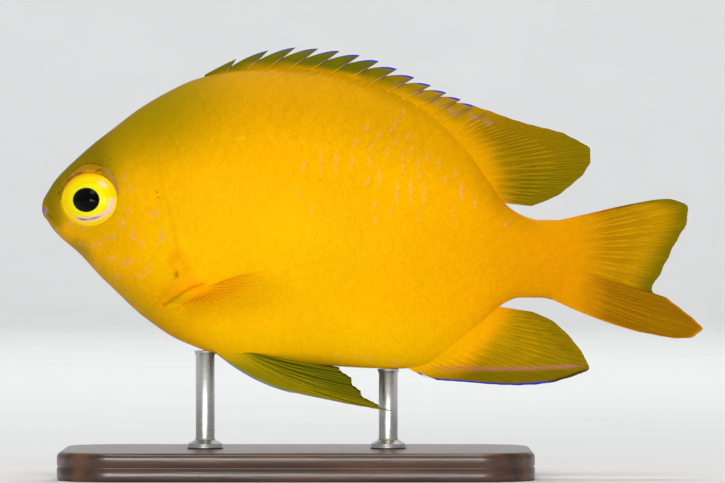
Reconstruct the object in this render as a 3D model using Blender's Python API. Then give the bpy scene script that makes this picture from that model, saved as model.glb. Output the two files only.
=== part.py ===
"""Lemon damselfish, a life-size still model held over a flat base by two short rods.

Sizes are in millimetres. x runs back from the tip of the snout, z up from the level of the snout, and
y to the fish's right, so its left side faces -Y. solid_object() turns them into metres and puts the
middle of the base's underside at the origin.
"""

import math

import bmesh
import bpy
import numpy as np
from mathutils import Matrix, Vector

# Driving sizes of the fish
BODY_LENGTH = 57.5
GAP = 0.3
HALF = 0.5 * GAP
SNOUT_HEIGHT = 28.5
BASE_BEHIND_SNOUT = 27.0

# Outline of the flesh without fins: (behind the snout, above the snout's level)
BACK_LINE = [
    (0.0, 0.27), (0.5, 1.59), (1.4, 2.97), (3.0, 4.66), (5.1, 6.57), (7.2, 8.22), (10.4, 10.62),
    (13.6, 12.5), (16.7, 13.8), (20.5, 14.6), (24.7, 14.95), (29.5, 14.7), (34.2, 13.6),
    (38.5, 11.8), (42.2, 9.5), (45.2, 6.7), (47.3, 3.4), (49.1, 0.53), (50.7, -0.64),
    (52.8, -1.22), (54.9, -1.22), (56.5, -1.4), (BODY_LENGTH, -2.2),
]
BELLY_LINE = [
    (0.0, -0.27), (0.4, -1.17), (1.2, -2.33), (2.1, -3.25), (3.8, -4.72), (6.1, -7.18),
    (8.3, -9.32), (10.9, -11.67), (14.1, -13.8), (17.3, -15.15), (20.5, -16.05), (24.2, -16.5),
    (29.5, -16.7), (34.8, -17.0), (37.9, -17.07), (40.1, -16.85), (42.2, -16.11), (44.8, -14.31),
    (47.0, -12.08), (48.9, -10.18), (50.7, -9.54), (52.8, -9.54), (54.9, -9.86), (56.5, -9.75),
    (BODY_LENGTH, -8.9),
]
HALF_WIDTH = [
    (0.0, 0.55), (0.5, 1.15), (1.4, 1.9), (3.0, 2.75), (5.0, 3.65), (7.5, 4.5), (10.5, 5.2),
    (14.0, 5.8), (17.5, 6.2), (21.0, 6.4), (26.0, 6.35), (31.0, 6.0), (36.0, 5.3), (41.0, 4.3),
    (45.0, 3.4), (49.0, 2.5), (52.0, 1.95), (54.5, 1.4), (56.2, 0.85), (BODY_LENGTH, 0.3),
]
WIDEST_LEVEL = [(0.0, 0.5), (6.0, 0.46), (16.0, 0.5), (34.0, 0.52), (BODY_LENGTH, 0.5)]
# How lens-like a cross-section is: 1 is an ellipse, and more draws its edges sharper
BACK_EDGE = [(0.0, 1.0), (8.0, 1.0), (20.0, 1.3), (32.0, 1.5), (46.0, 1.5), (BODY_LENGTH, 1.0)]
BELLY_EDGE = [(0.0, 1.0), (8.0, 1.05), (20.0, 1.0), (36.0, 1.15), (44.0, 1.4), (BODY_LENGTH, 1.0)]
STATIONS = 46
AROUND = 36
STATION_CROWDING = 1.4

# Where the body is parted
GILL_LINE = [
    (13.0, 18.0), (12.3, 9.0), (12.25, 5.0), (12.7, 2.0), (13.5, -0.8), (14.1, -3.4),
    (14.25, -5.4), (13.85, -7.3), (12.9, -9.0), (11.8, -10.6), (10.6, -12.6), (8.5, -20.0),
]
PEDUNCLE_CUT = 49.6

# Gill cover
COVER_FRONT = [
    (7.6, -7.9), (9.2, -7.2), (10.3, -5.8), (10.9, -3.8), (11.0, -1.6), (10.8, 0.8), (10.5, 3.0),
    (10.9, 4.0),
]
COVER_RISE = 0.35
COVER_DEPTH = 0.75

# Eye
EYE_X, EYE_Z = 5.21, 0.86
EYE_LONG, EYE_TALL = 3.12, 2.88
EYE_HALF_DEPTH = 1.75
EYE_STANDS_OUT = 0.7
PUPIL_SHIFT = (-0.35, -0.03)
PUPIL_LONG, PUPIL_TALL = 1.45, 1.27
PUPIL_DEPTH = 0.72
PUPIL_SUNK = 0.42
RIM_OUTSIDE = 0.28
RIM_THICKNESS = 0.42

# Mouth and nostril
MOUTH_START_Z = -0.25
MOUTH_SLOPE = -1.05
MOUTH_LENGTH = 1.65
LIP_RADIUS = 0.42
LIP_OFFSET = 0.5
NOSTRIL_X, NOSTRIL_Z = 1.75, 1.55
NOSTRIL_RADIUS = 0.3

# Fins
SINK = 1.1
MEMBRANE = 0.48
RAY_BASE = 0.95
RAY_TIP = 0.66
MARGIN = 0.26
SPINES = 13
DORSAL_RAYS = 14
ANAL_RAYS = 14
CAUDAL_RAYS = 17
PECTORAL_RAYS = 14

# Stand
BASE_LENGTH, BASE_WIDTH, BASE_THICKNESS = 50.0, 28.0, 3.0
BASE_BEVEL = 0.5
BASE_CORNER = 6.0
ROD_RADIUS = 1.0
ROD_SPACING = 19.4
ROD_SIDES = 20

COLOURS = {
    "skin": ((0.98, 0.62, 0.02), 0.42, 0.0),
    "fin": ((0.72, 0.62, 0.03), 0.40, 0.0),
    "eye": ((0.98, 0.85, 0.03), 0.15, 0.0),
    "wood": ((0.13, 0.07, 0.04), 0.45, 0.0),
    "steel": ((0.62, 0.62, 0.60), 0.30, 1.0),
}


def curve_through(points):
    """A smooth function through (position, value) points, with no overshoot at steep steps."""
    positions = np.array([p[0] for p in points], float)
    values = np.array([p[1] for p in points], float)
    steps = np.diff(positions)
    slopes = np.diff(values) / steps
    tangents = np.zeros(len(points))
    tangents[0], tangents[-1] = slopes[0], slopes[-1]
    for i in range(1, len(points) - 1):
        if slopes[i - 1] * slopes[i] > 0:
            before, after = steps[i - 1], steps[i]
            weight_before = 2 * after + before
            weight_after = after + 2 * before
            shares = weight_before / slopes[i - 1] + weight_after / slopes[i]
            tangents[i] = (weight_before + weight_after) / shares

    def at(position):
        x = min(max(position, positions[0]), positions[-1])
        i = min(int(np.searchsorted(positions, x, side="right")) - 1, len(steps) - 1)
        t = (x - positions[i]) / steps[i]
        rise = values[i] * (1 + 2 * t) * (1 - t) ** 2 + values[i + 1] * t * t * (3 - 2 * t)
        turn = tangents[i] * t * (1 - t) ** 2 - tangents[i + 1] * t * t * (1 - t)
        return float(rise + steps[i] * turn)

    return at


def rounded_profile(points):
    """The same for an outline that rounds off at the snout, where it starts upright."""
    at = curve_through([(math.sqrt(x), value) for x, value in points])
    return lambda x: at(math.sqrt(max(x, 0.0)))


back_line = rounded_profile(BACK_LINE)
belly_line = rounded_profile(BELLY_LINE)
half_width = rounded_profile(HALF_WIDTH)
widest_level = curve_through(WIDEST_LEVEL)
back_edge = curve_through(BACK_EDGE)
belly_edge = curve_through(BELLY_EDGE)


def section(x):
    """The widest level, the height above and below it, and the half width of the flesh at x."""
    top, bottom = back_line(x), belly_line(x)
    level = bottom + (top - bottom) * widest_level(x)
    return level, top - level, level - bottom, half_width(x)


def side_y(x, z):
    """How far the flesh reaches from the middle plane at (x, z)."""
    level, above, below, width = section(x)
    share = (z - level) / (above if z > level else below)
    if abs(share) >= 1:
        return 0.0
    edge = back_edge(x) if z > level else belly_edge(x)
    return width * (1 - share * share) ** (0.5 * edge)


def side_normal(x, z):
    """The outward direction of the flesh at (x, z), on the fish's right side."""
    step = 0.05
    slope_x = (side_y(x + step, z) - side_y(x - step, z)) / (2 * step)
    slope_z = (side_y(x, z + step) - side_y(x, z - step)) / (2 * step)
    return Vector((-slope_x, 1.0, -slope_z)).normalized()


# Meshes and Booleans


def solid_object(name, points, faces):
    """A mesh object from points in the fish's millimetres, with its faces turned outwards."""
    mesh = bpy.data.meshes.new(name)
    placed = [
        ((x - BASE_BEHIND_SNOUT) / 1000, y / 1000, (z + SNOUT_HEIGHT) / 1000) for x, y, z in points
    ]
    mesh.from_pydata(placed, [], faces)
    shaped = bmesh.new()
    shaped.from_mesh(mesh)
    bmesh.ops.triangulate(shaped, faces=[f for f in shaped.faces if len(f.verts) > 4])
    bmesh.ops.recalc_face_normals(shaped, faces=shaped.faces[:])
    if shaped.calc_volume(signed=True) < 0:
        bmesh.ops.reverse_faces(shaped, faces=shaped.faces[:])
    shaped.to_mesh(mesh)
    shaped.free()
    obj = bpy.data.objects.new(name, mesh)
    bpy.context.scene.collection.objects.link(obj)
    return obj


def keep_largest(obj):
    """Leaves only the largest closed surface of a mesh."""
    shaped = bmesh.new()
    shaped.from_mesh(obj.data)
    islands = []
    waiting = set(shaped.verts)
    while waiting:
        reached = [waiting.pop()]
        island = set(reached)
        while reached:
            for edge in reached.pop().link_edges:
                for vertex in edge.verts:
                    if vertex not in island:
                        island.add(vertex)
                        reached.append(vertex)
        waiting -= island
        islands.append(island)
    islands.sort(key=len)
    dropped = [vertex for island in islands[:-1] for vertex in island]
    bmesh.ops.delete(shaped, geom=dropped, context="VERTS")
    shaped.to_mesh(obj.data)
    shaped.free()


def combine(obj, operation, tools, keep_tools=False):
    """Applies one Boolean of obj with each tool in turn, and keeps the largest closed surface."""
    for tool in tools:
        boolean = obj.modifiers.new(operation, "BOOLEAN")
        boolean.operation = operation
        boolean.solver = "MANIFOLD"
        boolean.object = tool
        graph = bpy.context.evaluated_depsgraph_get()
        made = bpy.data.meshes.new_from_object(obj.evaluated_get(graph))
        obj.modifiers.clear()
        obj.data = made
        if not keep_tools:
            bpy.data.objects.remove(tool)
    keep_largest(obj)
    return obj


def union(obj, pieces):
    """Joins closed pieces to obj in one Boolean on their collection."""
    group = bpy.data.collections.new(obj.name + "_pieces")
    for piece in pieces:
        group.objects.link(piece)
    boolean = obj.modifiers.new("union", "BOOLEAN")
    boolean.operation = "UNION"
    boolean.solver = "MANIFOLD"
    boolean.operand_type = "COLLECTION"
    boolean.collection = group
    graph = bpy.context.evaluated_depsgraph_get()
    made = bpy.data.meshes.new_from_object(obj.evaluated_get(graph))
    obj.modifiers.clear()
    obj.data = made
    for piece in pieces:
        bpy.data.objects.remove(piece)
    bpy.data.collections.remove(group)
    keep_largest(obj)
    return obj


def paint(obj, look):
    """Gives obj its plain material and smooth shading with sharp edges kept."""
    material = bpy.data.materials.get(look)
    if material is None:
        colour, roughness, metallic = COLOURS[look]
        material = bpy.data.materials.new(look)
        material.use_nodes = True
        shader = material.node_tree.nodes["Principled BSDF"]
        shader.inputs["Base Color"].default_value = (*colour, 1.0)
        shader.inputs["Roughness"].default_value = roughness
        shader.inputs["Metallic"].default_value = metallic
    obj.data.materials.clear()
    obj.data.materials.append(material)
    obj.data.shade_smooth()
    obj.data.set_sharp_from_angle(angle=math.radians(38))


def grid_faces(rows, columns):
    """Quads of a tube of rows of points, closed round, with a flat face at each end."""
    faces = []
    for r in range(rows - 1):
        for c in range(columns):
            d = (c + 1) % columns
            faces.append((r * columns + c, r * columns + d, (r + 1) * columns + d, (r + 1) * columns + c))
    faces.append(tuple(range(columns)))
    faces.append(tuple((rows - 1) * columns + c for c in range(columns)))
    return faces


def prism(name, outline, low, high):
    """An upright plate: an outline in x and z, drawn out in y from low to high."""
    count = len(outline)
    points = [(x, low, z) for x, z in outline] + [(x, high, z) for x, z in outline]
    faces = [tuple(range(count)), tuple(range(2 * count - 1, count - 1, -1))]
    for i in range(count):
        j = (i + 1) % count
        faces.append((i, j, count + j, count + i))
    return solid_object(name, points, faces)


def tube(name, path, radius, closed, square_to, sides=8):
    """A tube round a path of points, as a ring or with narrow ends. square_to crosses the path."""
    path = [Vector(p) for p in path]
    count = len(path)
    points = []
    for i, here in enumerate(path):
        before = path[i - 1] if closed or i > 0 else here
        after = path[(i + 1) % count] if closed or i < count - 1 else here
        along = (after - before).normalized()
        across = along.cross(Vector(square_to)).normalized()
        upward = across.cross(along)
        size = radius if closed or 0 < i < count - 1 else 0.45 * radius
        for k in range(sides):
            angle = 2 * math.pi * k / sides
            points.append(here + size * (math.cos(angle) * across + math.sin(angle) * upward))
    faces = grid_faces(count, sides)
    if closed:
        faces = faces[:-2]
        for k in range(sides):
            m = (k + 1) % sides
            last = (count - 1) * sides
            faces.append((last + k, last + m, m, k))
    return solid_object(name, points, faces)


def ellipsoid(name, centre, axes, turns=24, rings=10):
    """An ellipsoid with three half axes as vectors, its poles on the third."""
    points = [tuple(centre - axes[2]), tuple(centre + axes[2])]
    for r in range(1, rings):
        height = math.pi * r / rings
        for t in range(turns):
            angle = 2 * math.pi * t / turns
            offset = math.sin(height) * (math.cos(angle) * axes[0] + math.sin(angle) * axes[1])
            points.append(tuple(centre + offset - math.cos(height) * axes[2]))
    faces = []
    for t in range(turns):
        u = (t + 1) % turns
        faces.append((0, 2 + u, 2 + t))
        faces.append((1, 2 + (rings - 2) * turns + t, 2 + (rings - 2) * turns + u))
        for r in range(rings - 2):
            low, high = 2 + r * turns, 2 + (r + 1) * turns
            faces.append((low + t, low + u, high + u, high + t))
    return solid_object(name, points, faces)


# Flesh


def flesh_points(offset):
    """Points of the flesh in rings from snout to tail, moved out along the surface by offset."""
    rings = []
    for s in range(STATIONS + 1):
        x = BODY_LENGTH * (s / STATIONS) ** STATION_CROWDING
        level, above, below, width = section(x)
        ring = []
        for k in range(AROUND):
            angle = 2 * math.pi * k / AROUND
            up, out = math.sin(angle), math.cos(angle)
            edge = back_edge(x) if up > 0 else belly_edge(x)
            reach = math.copysign(abs(out) ** edge, out)
            ring.append((x, width * reach, level + (above if up > 0 else below) * up))
        rings.append(ring)
    grid = np.array(rings)
    along = np.gradient(grid, axis=0)
    round_about = np.roll(grid, -1, axis=1) - np.roll(grid, 1, axis=1)
    normals = np.cross(round_about, along)
    normals /= np.linalg.norm(normals, axis=2, keepdims=True)
    outward = grid - grid.mean(axis=1, keepdims=True)
    normals *= np.where((normals * outward).sum(axis=2, keepdims=True) < 0, -1.0, 1.0)
    moved = grid + offset * normals
    moved[0, :, 0] = -offset
    moved[-1, :, 0] = BODY_LENGTH + offset
    return moved.reshape(-1, 3)


def flesh(name, offset=0.0):
    """The whole flesh from snout to tail root as one closed mesh, swollen by offset."""
    return solid_object(name, flesh_points(offset).tolist(), grid_faces(STATIONS + 1, AROUND))


def shifted(line, by):
    """A line of (x, z) points moved square to itself, backwards for positive values."""
    moved = []
    for i, (x, z) in enumerate(line):
        x0, z0 = line[max(i - 1, 0)]
        x1, z1 = line[min(i + 1, len(line) - 1)]
        length = math.hypot(x1 - x0, z1 - z0)
        moved.append((x - by * (z1 - z0) / length, z + by * (x1 - x0) / length))
    return moved


def smooth_line(points, steps=3):
    """A finer line of (x, z) points, curved smoothly through the given ones."""
    lengths = np.cumsum([0] + [math.dist(a, b) for a, b in zip(points, points[1:])])
    x_at = curve_through([(s, p[0]) for s, p in zip(lengths, points)])
    z_at = curve_through([(s, p[1]) for s, p in zip(lengths, points)])
    places = np.linspace(0, lengths[-1], steps * (len(points) - 1) + 1)
    return [(x_at(s), z_at(s)) for s in places]


# Head


def eye_frame(side):
    """The middle of an eye's outer face on the flesh and its three directions: back, up and out."""
    out = side_normal(EYE_X, EYE_Z)
    place = Vector((EYE_X, side_y(EYE_X, EYE_Z), EYE_Z))
    out.y *= side
    place.y *= side
    back = (Vector((1, 0, 0)) - out * out.x).normalized()
    up = out.cross(back) * -side
    return place, back, up, out


def eye(name, side, swell=0.0):
    """One eyeball, flattened as a fish's is, swollen by a gap where it serves as a cutter."""
    place, back, up, out = eye_frame(side)
    centre = place + out * (EYE_STANDS_OUT - EYE_HALF_DEPTH)
    axes = (back * (EYE_LONG + swell), up * (EYE_TALL + swell), out * (EYE_HALF_DEPTH + swell))
    return ellipsoid(name, centre, axes)


def pupil(side):
    """The low bulge of the lens at the pupil, set a little ahead of the eye's middle."""
    place, back, up, out = eye_frame(side)
    shift = back * PUPIL_SHIFT[0] + up * PUPIL_SHIFT[1]
    centre = place + out * (EYE_STANDS_OUT - PUPIL_SUNK) + shift
    axes = (back * PUPIL_LONG, up * PUPIL_TALL, out * PUPIL_DEPTH)
    return ellipsoid("pupil", centre, axes, turns=16, rings=6)


def eye_rim(side):
    """The fold of skin round the eye, lying on the flesh."""
    path = []
    for k in range(24):
        angle = 2 * math.pi * k / 24
        x = EYE_X + (EYE_LONG + RIM_OUTSIDE) * math.cos(angle)
        z = EYE_Z + (EYE_TALL + RIM_OUTSIDE) * math.sin(angle)
        path.append((x, side * (side_y(x, z) - 0.05), z))
    return tube("rim", path, RIM_THICKNESS, closed=True, square_to=(0, 1, 0), sides=6)


def lip(above):
    """One lip, from a corner of the mouth round the snout to the other, above or below the cleft."""
    reach = [1.0, 0.8, 0.55, 0.3, 0.12, 0.03]
    path = []
    for side, places in ((-1, reach), (1, reach[::-1])):
        for share in places:
            x = 0.12 + MOUTH_LENGTH * share
            height = LIP_OFFSET * (1 - 0.45 * share)
            z = MOUTH_START_Z + MOUTH_SLOPE * x + (height if above else -height)
            path.append((x, side * max(side_y(x, z) - 0.16, 0.2), z))
    return tube("lip", path, LIP_RADIUS, closed=False, square_to=(-MOUTH_SLOPE, 0, 1))


def mouth_cleft():
    """The thin wedge that parts the lips."""
    length = math.hypot(1, MOUTH_SLOPE)
    square = (-MOUTH_SLOPE / length * HALF, 1 / length * HALF)
    start = (-1.5, MOUTH_START_Z - 1.5 * MOUTH_SLOPE)
    end = (MOUTH_LENGTH, MOUTH_START_Z + MOUTH_LENGTH * MOUTH_SLOPE)
    outline = [
        (start[0] + square[0], start[1] + square[1]),
        (start[0] - square[0], start[1] - square[1]),
        (end[0] - 0.5 * square[0], end[1] - 0.5 * square[1]),
        (end[0] + 0.5 * square[0], end[1] + 0.5 * square[1]),
    ]
    return prism("cleft", outline, -6, 6)


def nostril(side):
    """A small round pit before the eye."""
    out = side_normal(NOSTRIL_X, NOSTRIL_Z)
    place = Vector((NOSTRIL_X, side_y(NOSTRIL_X, NOSTRIL_Z), NOSTRIL_Z))
    out.y *= side
    place.y *= side
    back = (Vector((1, 0, 0)) - out * out.x).normalized()
    up = out.cross(back)
    axes = (back * NOSTRIL_RADIUS, up * NOSTRIL_RADIUS, out * 0.7)
    return ellipsoid("nostril", place, axes, turns=10, rings=6)


def grown(outline, by):
    """A closed outline of (x, z) points moved outwards by a distance, its corners kept sharp."""
    count = len(outline)
    area = sum(
        outline[i - 1][0] * outline[i][1] - outline[i][0] * outline[i - 1][1] for i in range(count)
    )
    turn = math.copysign(1, area)
    moved = []
    for i, (x, z) in enumerate(outline):
        before = Vector((x - outline[i - 1][0], z - outline[i - 1][1])).normalized()
        after = outline[(i + 1) % count]
        after = Vector((after[0] - x, after[1] - z)).normalized()
        both = before + after
        stretch = 2 * by * turn / max(both.length_squared, 0.6)
        moved.append((x + both.y * stretch, z - both.x * stretch))
    return moved


def cover_outline(grow):
    """The gill cover's outline in x and z, grown by a gap where it serves as a cutter."""
    rear = shifted(smooth_line(GILL_LINE), -HALF)
    front = smooth_line(COVER_FRONT)
    low, high = front[0][1] - 2.4, front[-1][1]
    rear = [(x, z) for x, z in rear if low < z < high - 0.1]
    return grown(front + rear, grow)


def make_head(cutters):
    """The head before the gill line: brow, cheeks, lips, nostrils, eye rims and sockets."""
    head = flesh("head")
    rear = shifted(smooth_line(GILL_LINE), -HALF)
    front = prism("front", [(-5, 25), (-5, -25)] + rear[::-1], -20, 20)
    combine(head, "INTERSECT", [front])
    union(head, [eye_rim(-1), eye_rim(1), lip(True), lip(False)])
    sockets = [eye("socket", side, swell=GAP) for side in (-1, 1)]
    combine(head, "DIFFERENCE", sockets + [mouth_cleft(), nostril(-1), nostril(1)])
    combine(head, "DIFFERENCE", cutters)
    return head


def make_gill_cover(name, side):
    """One gill cover: a curved plate that stands a little proud of the cheek."""
    cover = flesh(name, COVER_RISE)
    near, far = (1.0, 20.0) if side > 0 else (-20.0, -1.0)
    combine(cover, "INTERSECT", [prism("cover_shape", cover_outline(0.0), near, far)])
    combine(cover, "DIFFERENCE", [flesh("inside", -COVER_DEPTH)])
    return cover


def gill_recess(side):
    """What is taken out of the head for a gill cover to lie in."""
    near, far = (0.6, 20.0) if side > 0 else (-20.0, -0.6)
    recess = prism("recess", cover_outline(GAP), near, far)
    return combine(recess, "DIFFERENCE", [flesh("inside", -COVER_DEPTH - GAP)])


# Trunk


def pectoral_lobe(side):
    """The fleshy lobe that carries a pectoral fin, low behind the gill cover."""
    x, z = 15.4, -8.3
    out = side_normal(x, z)
    place = Vector((x, side_y(x, z) - 0.1, z))
    out.y *= side
    place.y *= side
    slope = Vector((0.88, 0, 0.47))
    along = (slope - out * out.dot(slope)).normalized()
    across = out.cross(along)
    axes = (across * 1.3, along * 2.4, out * 0.8)
    return ellipsoid("lobe", place, axes, turns=16, rings=8)


def make_torso():
    """The trunk from the gill line to the tail root."""
    torso = flesh("torso")
    front = shifted(smooth_line(GILL_LINE), HALF)
    rear = PEDUNCLE_CUT - HALF
    combine(torso, "INTERSECT", [prism("middle", front + [(rear, -25), (rear, 25)], -20, 20)])
    union(torso, [pectoral_lobe(-1), pectoral_lobe(1)])
    return torso


def make_tail_base():
    """The narrow tail root, from the trunk to where the tail fin grows."""
    tail = flesh("tail_base")
    front = PEDUNCLE_CUT + HALF
    shape = [(front, -25), (front, 25), (BODY_LENGTH + 5, 25), (BODY_LENGTH + 5, -25)]
    return combine(tail, "INTERSECT", [prism("rear", shape, -20, 20)])


# Fins


def ray_point(ray, u):
    """A point of a ray, a gentle curve from its root by its bend to its tip."""
    root, bend, tip = ray
    return (1 - u) ** 2 * root + 2 * u * (1 - u) * bend + u * u * tip


def straight_ray(root, tip, bow=(0, 0, 0)):
    """A ray from root to tip whose middle is bowed by a small vector."""
    root, tip = np.array(root, float), np.array(tip, float)
    return root, 0.5 * (root + tip) + np.array(bow, float), tip


def fin_columns(count, spines=0, web=None):
    """(place across the fin, share of the full reach, whether on a ray) for each line of points.

    The web behind a spine starts low on it and climbs to the tip of the next, which gives the saw
    edge of the spiny part. Between soft rays it ends a little before them, or where web says."""
    columns = []
    for k in range(count):
        columns.append((k, 1.0, True))
        if k == count - 1:
            break
        if 0 < k < spines:
            columns.append((k + 0.16, 0.64, False))
            columns.append((k + 0.5, 0.9, False))
        else:
            columns.append((k + 0.5, (web or {}).get(k, 0.98), False))
    return columns


def fin(name, rays, rows, spines=0, web=None, root_thickness=RAY_BASE, side_lift=None):
    """A thin fin with its rays raised on the web, both faces split into like triangles."""
    columns = fin_columns(len(rays), spines, web)
    middle = np.zeros((len(columns), rows + 1, 3))
    thick = np.zeros((len(columns), rows + 1))
    for c, (place, reach, on_ray) in enumerate(columns):
        k = min(int(place), len(rays) - 2)
        share = place - k
        for r in range(rows + 1):
            u = reach * r / rows
            point = (1 - share) * ray_point(rays[k], u) + share * ray_point(rays[k + 1], u)
            if side_lift is not None:
                point = point + np.array((0, side_lift(place / (len(rays) - 1), u), 0))
            middle[c, r] = point
            fade = (r / rows) ** 1.2
            ray_size = RAY_BASE * (1 - fade) + RAY_TIP * fade
            web_size = MEMBRANE + (root_thickness - RAY_BASE) * (1 - fade) ** 3
            thick[c, r] = max(ray_size, web_size) if on_ray else web_size
            if r == rows:
                thick[c, r] = MARGIN
    across = np.gradient(middle, axis=0)
    along = np.gradient(middle, axis=1)
    normals = np.cross(along, across)
    normals /= np.linalg.norm(normals, axis=2, keepdims=True)
    shell = 0.5 * thick[:, :, None] * normals
    wide, high = len(columns), rows + 1
    points = np.concatenate([(middle + shell).reshape(-1, 3), (middle - shell).reshape(-1, 3)])
    faces = sheet_faces(wide, high)
    return solid_object(name, points.tolist(), faces)


def sheet_faces(wide, high):
    """Triangles of a closed sheet: two like faces and the walls round its four sides."""
    back = wide * high
    faces = []
    for c in range(wide - 1):
        for r in range(high - 1):
            a, b = c * high + r, (c + 1) * high + r
            faces += [(a, b, b + 1), (a, b + 1, a + 1)]
            faces += [(back + a, back + b + 1, back + b), (back + a, back + a + 1, back + b + 1)]
    rim = [c * high for c in range(wide)]
    rim += [(wide - 1) * high + r for r in range(1, high)]
    rim += [c * high + high - 1 for c in range(wide - 2, -1, -1)]
    rim += [r for r in range(high - 2, 0, -1)]
    for i, a in enumerate(rim):
        b = rim[(i + 1) % len(rim)]
        faces += [(a, back + b, b), (a, back + a, back + b)]
    return faces


def point_on(line, share):
    """The point a share of the way along a line of (x, z) points."""
    lengths = np.cumsum([0] + [math.dist(a, b) for a, b in zip(line, line[1:])])
    place = share * lengths[-1]
    return (
        float(np.interp(place, lengths, [p[0] for p in line])),
        float(np.interp(place, lengths, [p[1] for p in line])),
    )


def leaning_ray(tip, lean):
    """A spine of the back from its tip down its slope, in degrees, to just inside the flesh."""
    x, z = tip
    slope = math.tan(math.radians(lean))
    while z > back_line(x) - SINK:
        x -= 0.05
        z -= 0.05 * slope
    return straight_ray((x, 0, z), (tip[0], 0, tip[1]), bow=(-0.1, 0, 0.12))


def dorsal_rays():
    """A low front fold, thirteen spines that lean back, then the soft rays of the rear lobe."""
    tip_height = curve_through([
        (20.6, 15.79), (24.0, 16.7), (26.9, 17.01), (31.4, 16.64), (35.6, 15.58), (39.5, 13.8),
        (42.9, 12.19), (45.9, 10.8),
    ])
    tip_place = curve_through([
        (0, 20.6), (1, 24.0), (2, 26.9), (3, 29.3), (5, 33.7), (8, 39.5), (10, 42.9), (12, 45.9),
    ])
    lean = curve_through([(0, 54), (1, 44), (2, 38), (5, 33), (8, 28), (12, 26)])
    rays = [straight_ray((16.6, 0, 12.7), (17.3, 0, 14.15))]
    for k in range(SPINES):
        tip_x = tip_place(k)
        rays.append(leaning_ray((tip_x, tip_height(tip_x)), lean(k)))
    lobe = smooth_line([
        (47.6, 10.25), (49.7, 9.48), (52.0, 8.8), (55.3, 7.95), (56.9, 7.1), (58.3, 5.94),
        (58.0, 4.35), (56.4, 2.7), (55.0, 1.5), (53.3, 0.7), (51.9, 0.2),
    ])
    for k in range(DORSAL_RAYS):
        share = k / (DORSAL_RAYS - 1)
        root_x = 43.2 + 5.0 * share
        tip = point_on(lobe, share)
        root = (root_x, 0, back_line(root_x) - SINK - 0.15 * share)
        rays.append(straight_ray(root, (tip[0], 0, tip[1]), bow=(0, 0, 0.2 * (1 - share))))
    return rays


def anal_rays():
    """Two spines and the soft rays below the tail root."""
    margin = smooth_line([
        (41.2, -18.2), (45.4, -18.5), (48.5, -18.75), (50.7, -18.8), (53.6, -18.6),
        (55.4, -18.15), (57.0, -17.6), (58.1, -17.1), (57.5, -15.69), (56.2, -13.89),
        (54.7, -12.4), (53.3, -11.45), (52.0, -11.0),
    ])
    rays = []
    for k in range(ANAL_RAYS + 2):
        share = k / (ANAL_RAYS + 1)
        root_x = 37.2 + 10.4 * share
        tip = point_on(margin, share ** 1.35)
        root = (root_x, 0, belly_line(root_x) + SINK)
        rays.append(straight_ray(root, (tip[0], 0, tip[1]), bow=(0, 0, -0.25 * (1 - share))))
    return rays


def caudal_rays():
    """The rays of the forked tail fin, from the upper lobe down to the lower."""
    upper = smooth_line([
        (62.8, 0.4), (64.8, 0.85), (66.9, 0.95), (68.1, 0.64), (68.55, 0.0), (68.5, -1.2),
        (67.4, -3.39), (66.2, -5.83), (65.2, -7.84), (64.7, -8.8),
    ])
    lower = smooth_line([
        (64.7, -8.9), (66.0, -9.43), (67.2, -10.3), (68.7, -11.45), (69.6, -12.35), (70.1, -13.0),
        (69.2, -13.67), (67.4, -13.82), (64.0, -13.2),
    ])
    rays = []
    half = (CAUDAL_RAYS - 1) // 2
    for k in range(CAUDAL_RAYS):
        share = k / (CAUDAL_RAYS - 1)
        if k <= half:
            tip = point_on(upper, k / half)
        else:
            tip = point_on(lower, (k - half) / half)
        root = (54.0, 0, -1.45 - 8.2 * share)
        rays.append(straight_ray(root, (tip[0], 0, tip[1]), bow=(0, 0, -0.7 * share ** 3)))
    return rays


def caudal_lift(share, u):
    """The fold of the tail fin: the lower lobe lies nearer the fish's left, over the upper one."""
    step = 0.5 + 0.5 * math.tanh((share - 0.53) / 0.045)
    upper = 0.9 * math.sin(math.pi * min(share / 0.5, 1.0) * 0.5)
    lower = -1.3 + 1.1 * max(0.0, share - 0.55) / 0.45
    return (upper * (1 - step) + lower * step) * max(0.0, u - 0.12) ** 1.3 / 0.85


def pelvic_rays(side):
    """A spine and five rays folded back under the belly, the first drawn out to a thread."""
    shapes = [
        ((17.2, 1.2, -14.2), (21.9, 2.4, -18.6), (26.9, 2.8, -19.5)),
        ((18.3, 1.25, -14.1), (25.5, 2.7, -19.7), (37.0, 3.4, -21.4)),
        ((19.2, 1.35, -14.3), (25.8, 2.8, -18.9), (35.2, 3.5, -20.7)),
        ((19.9, 1.5, -14.5), (26.0, 2.9, -17.9), (33.8, 3.6, -19.5)),
        ((20.5, 1.65, -14.8), (25.9, 3.1, -16.95), (32.8, 3.7, -18.1)),
        ((21.0, 1.8, -15.0), (25.6, 3.3, -16.0), (31.5, 3.8, -16.95)),
    ]
    flip = np.array((1, side, 1))
    return [tuple(np.array(p) * flip for p in ray) for ray in shapes]


def pectoral_rays(side):
    """A fan of rays that stands out from the side, its upper rays longest."""
    reach = curve_through([(0, 8.6), (0.2, 10.4), (0.45, 9.6), (0.75, 7.2), (1, 4.6)])
    margin = smooth_line([
        (25.0, -6.3), (26.4, -6.75), (26.3, -8.0), (25.0, -9.1), (23.0, -9.9), (21.0, -10.45),
        (19.0, -10.85), (17.0, -11.1), (15.4, -11.3), (13.9, -11.25),
    ])
    rays = []
    for k in range(PECTORAL_RAYS):
        share = k / (PECTORAL_RAYS - 1)
        root_x, root_z = 17.5 - 0.9 * share, -8.4 - 1.1 * share
        surface = side_y(root_x, root_z)
        tip_x, tip_z = point_on(margin, share)
        root = np.array((root_x, side * (surface - 0.6), root_z))
        tip = np.array((tip_x, side * (surface + reach(share)), tip_z))
        bend = 0.5 * (root + tip) + np.array((-0.5, side * 0.8, 0.3))
        rays.append((root, bend, tip))
    return rays


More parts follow.
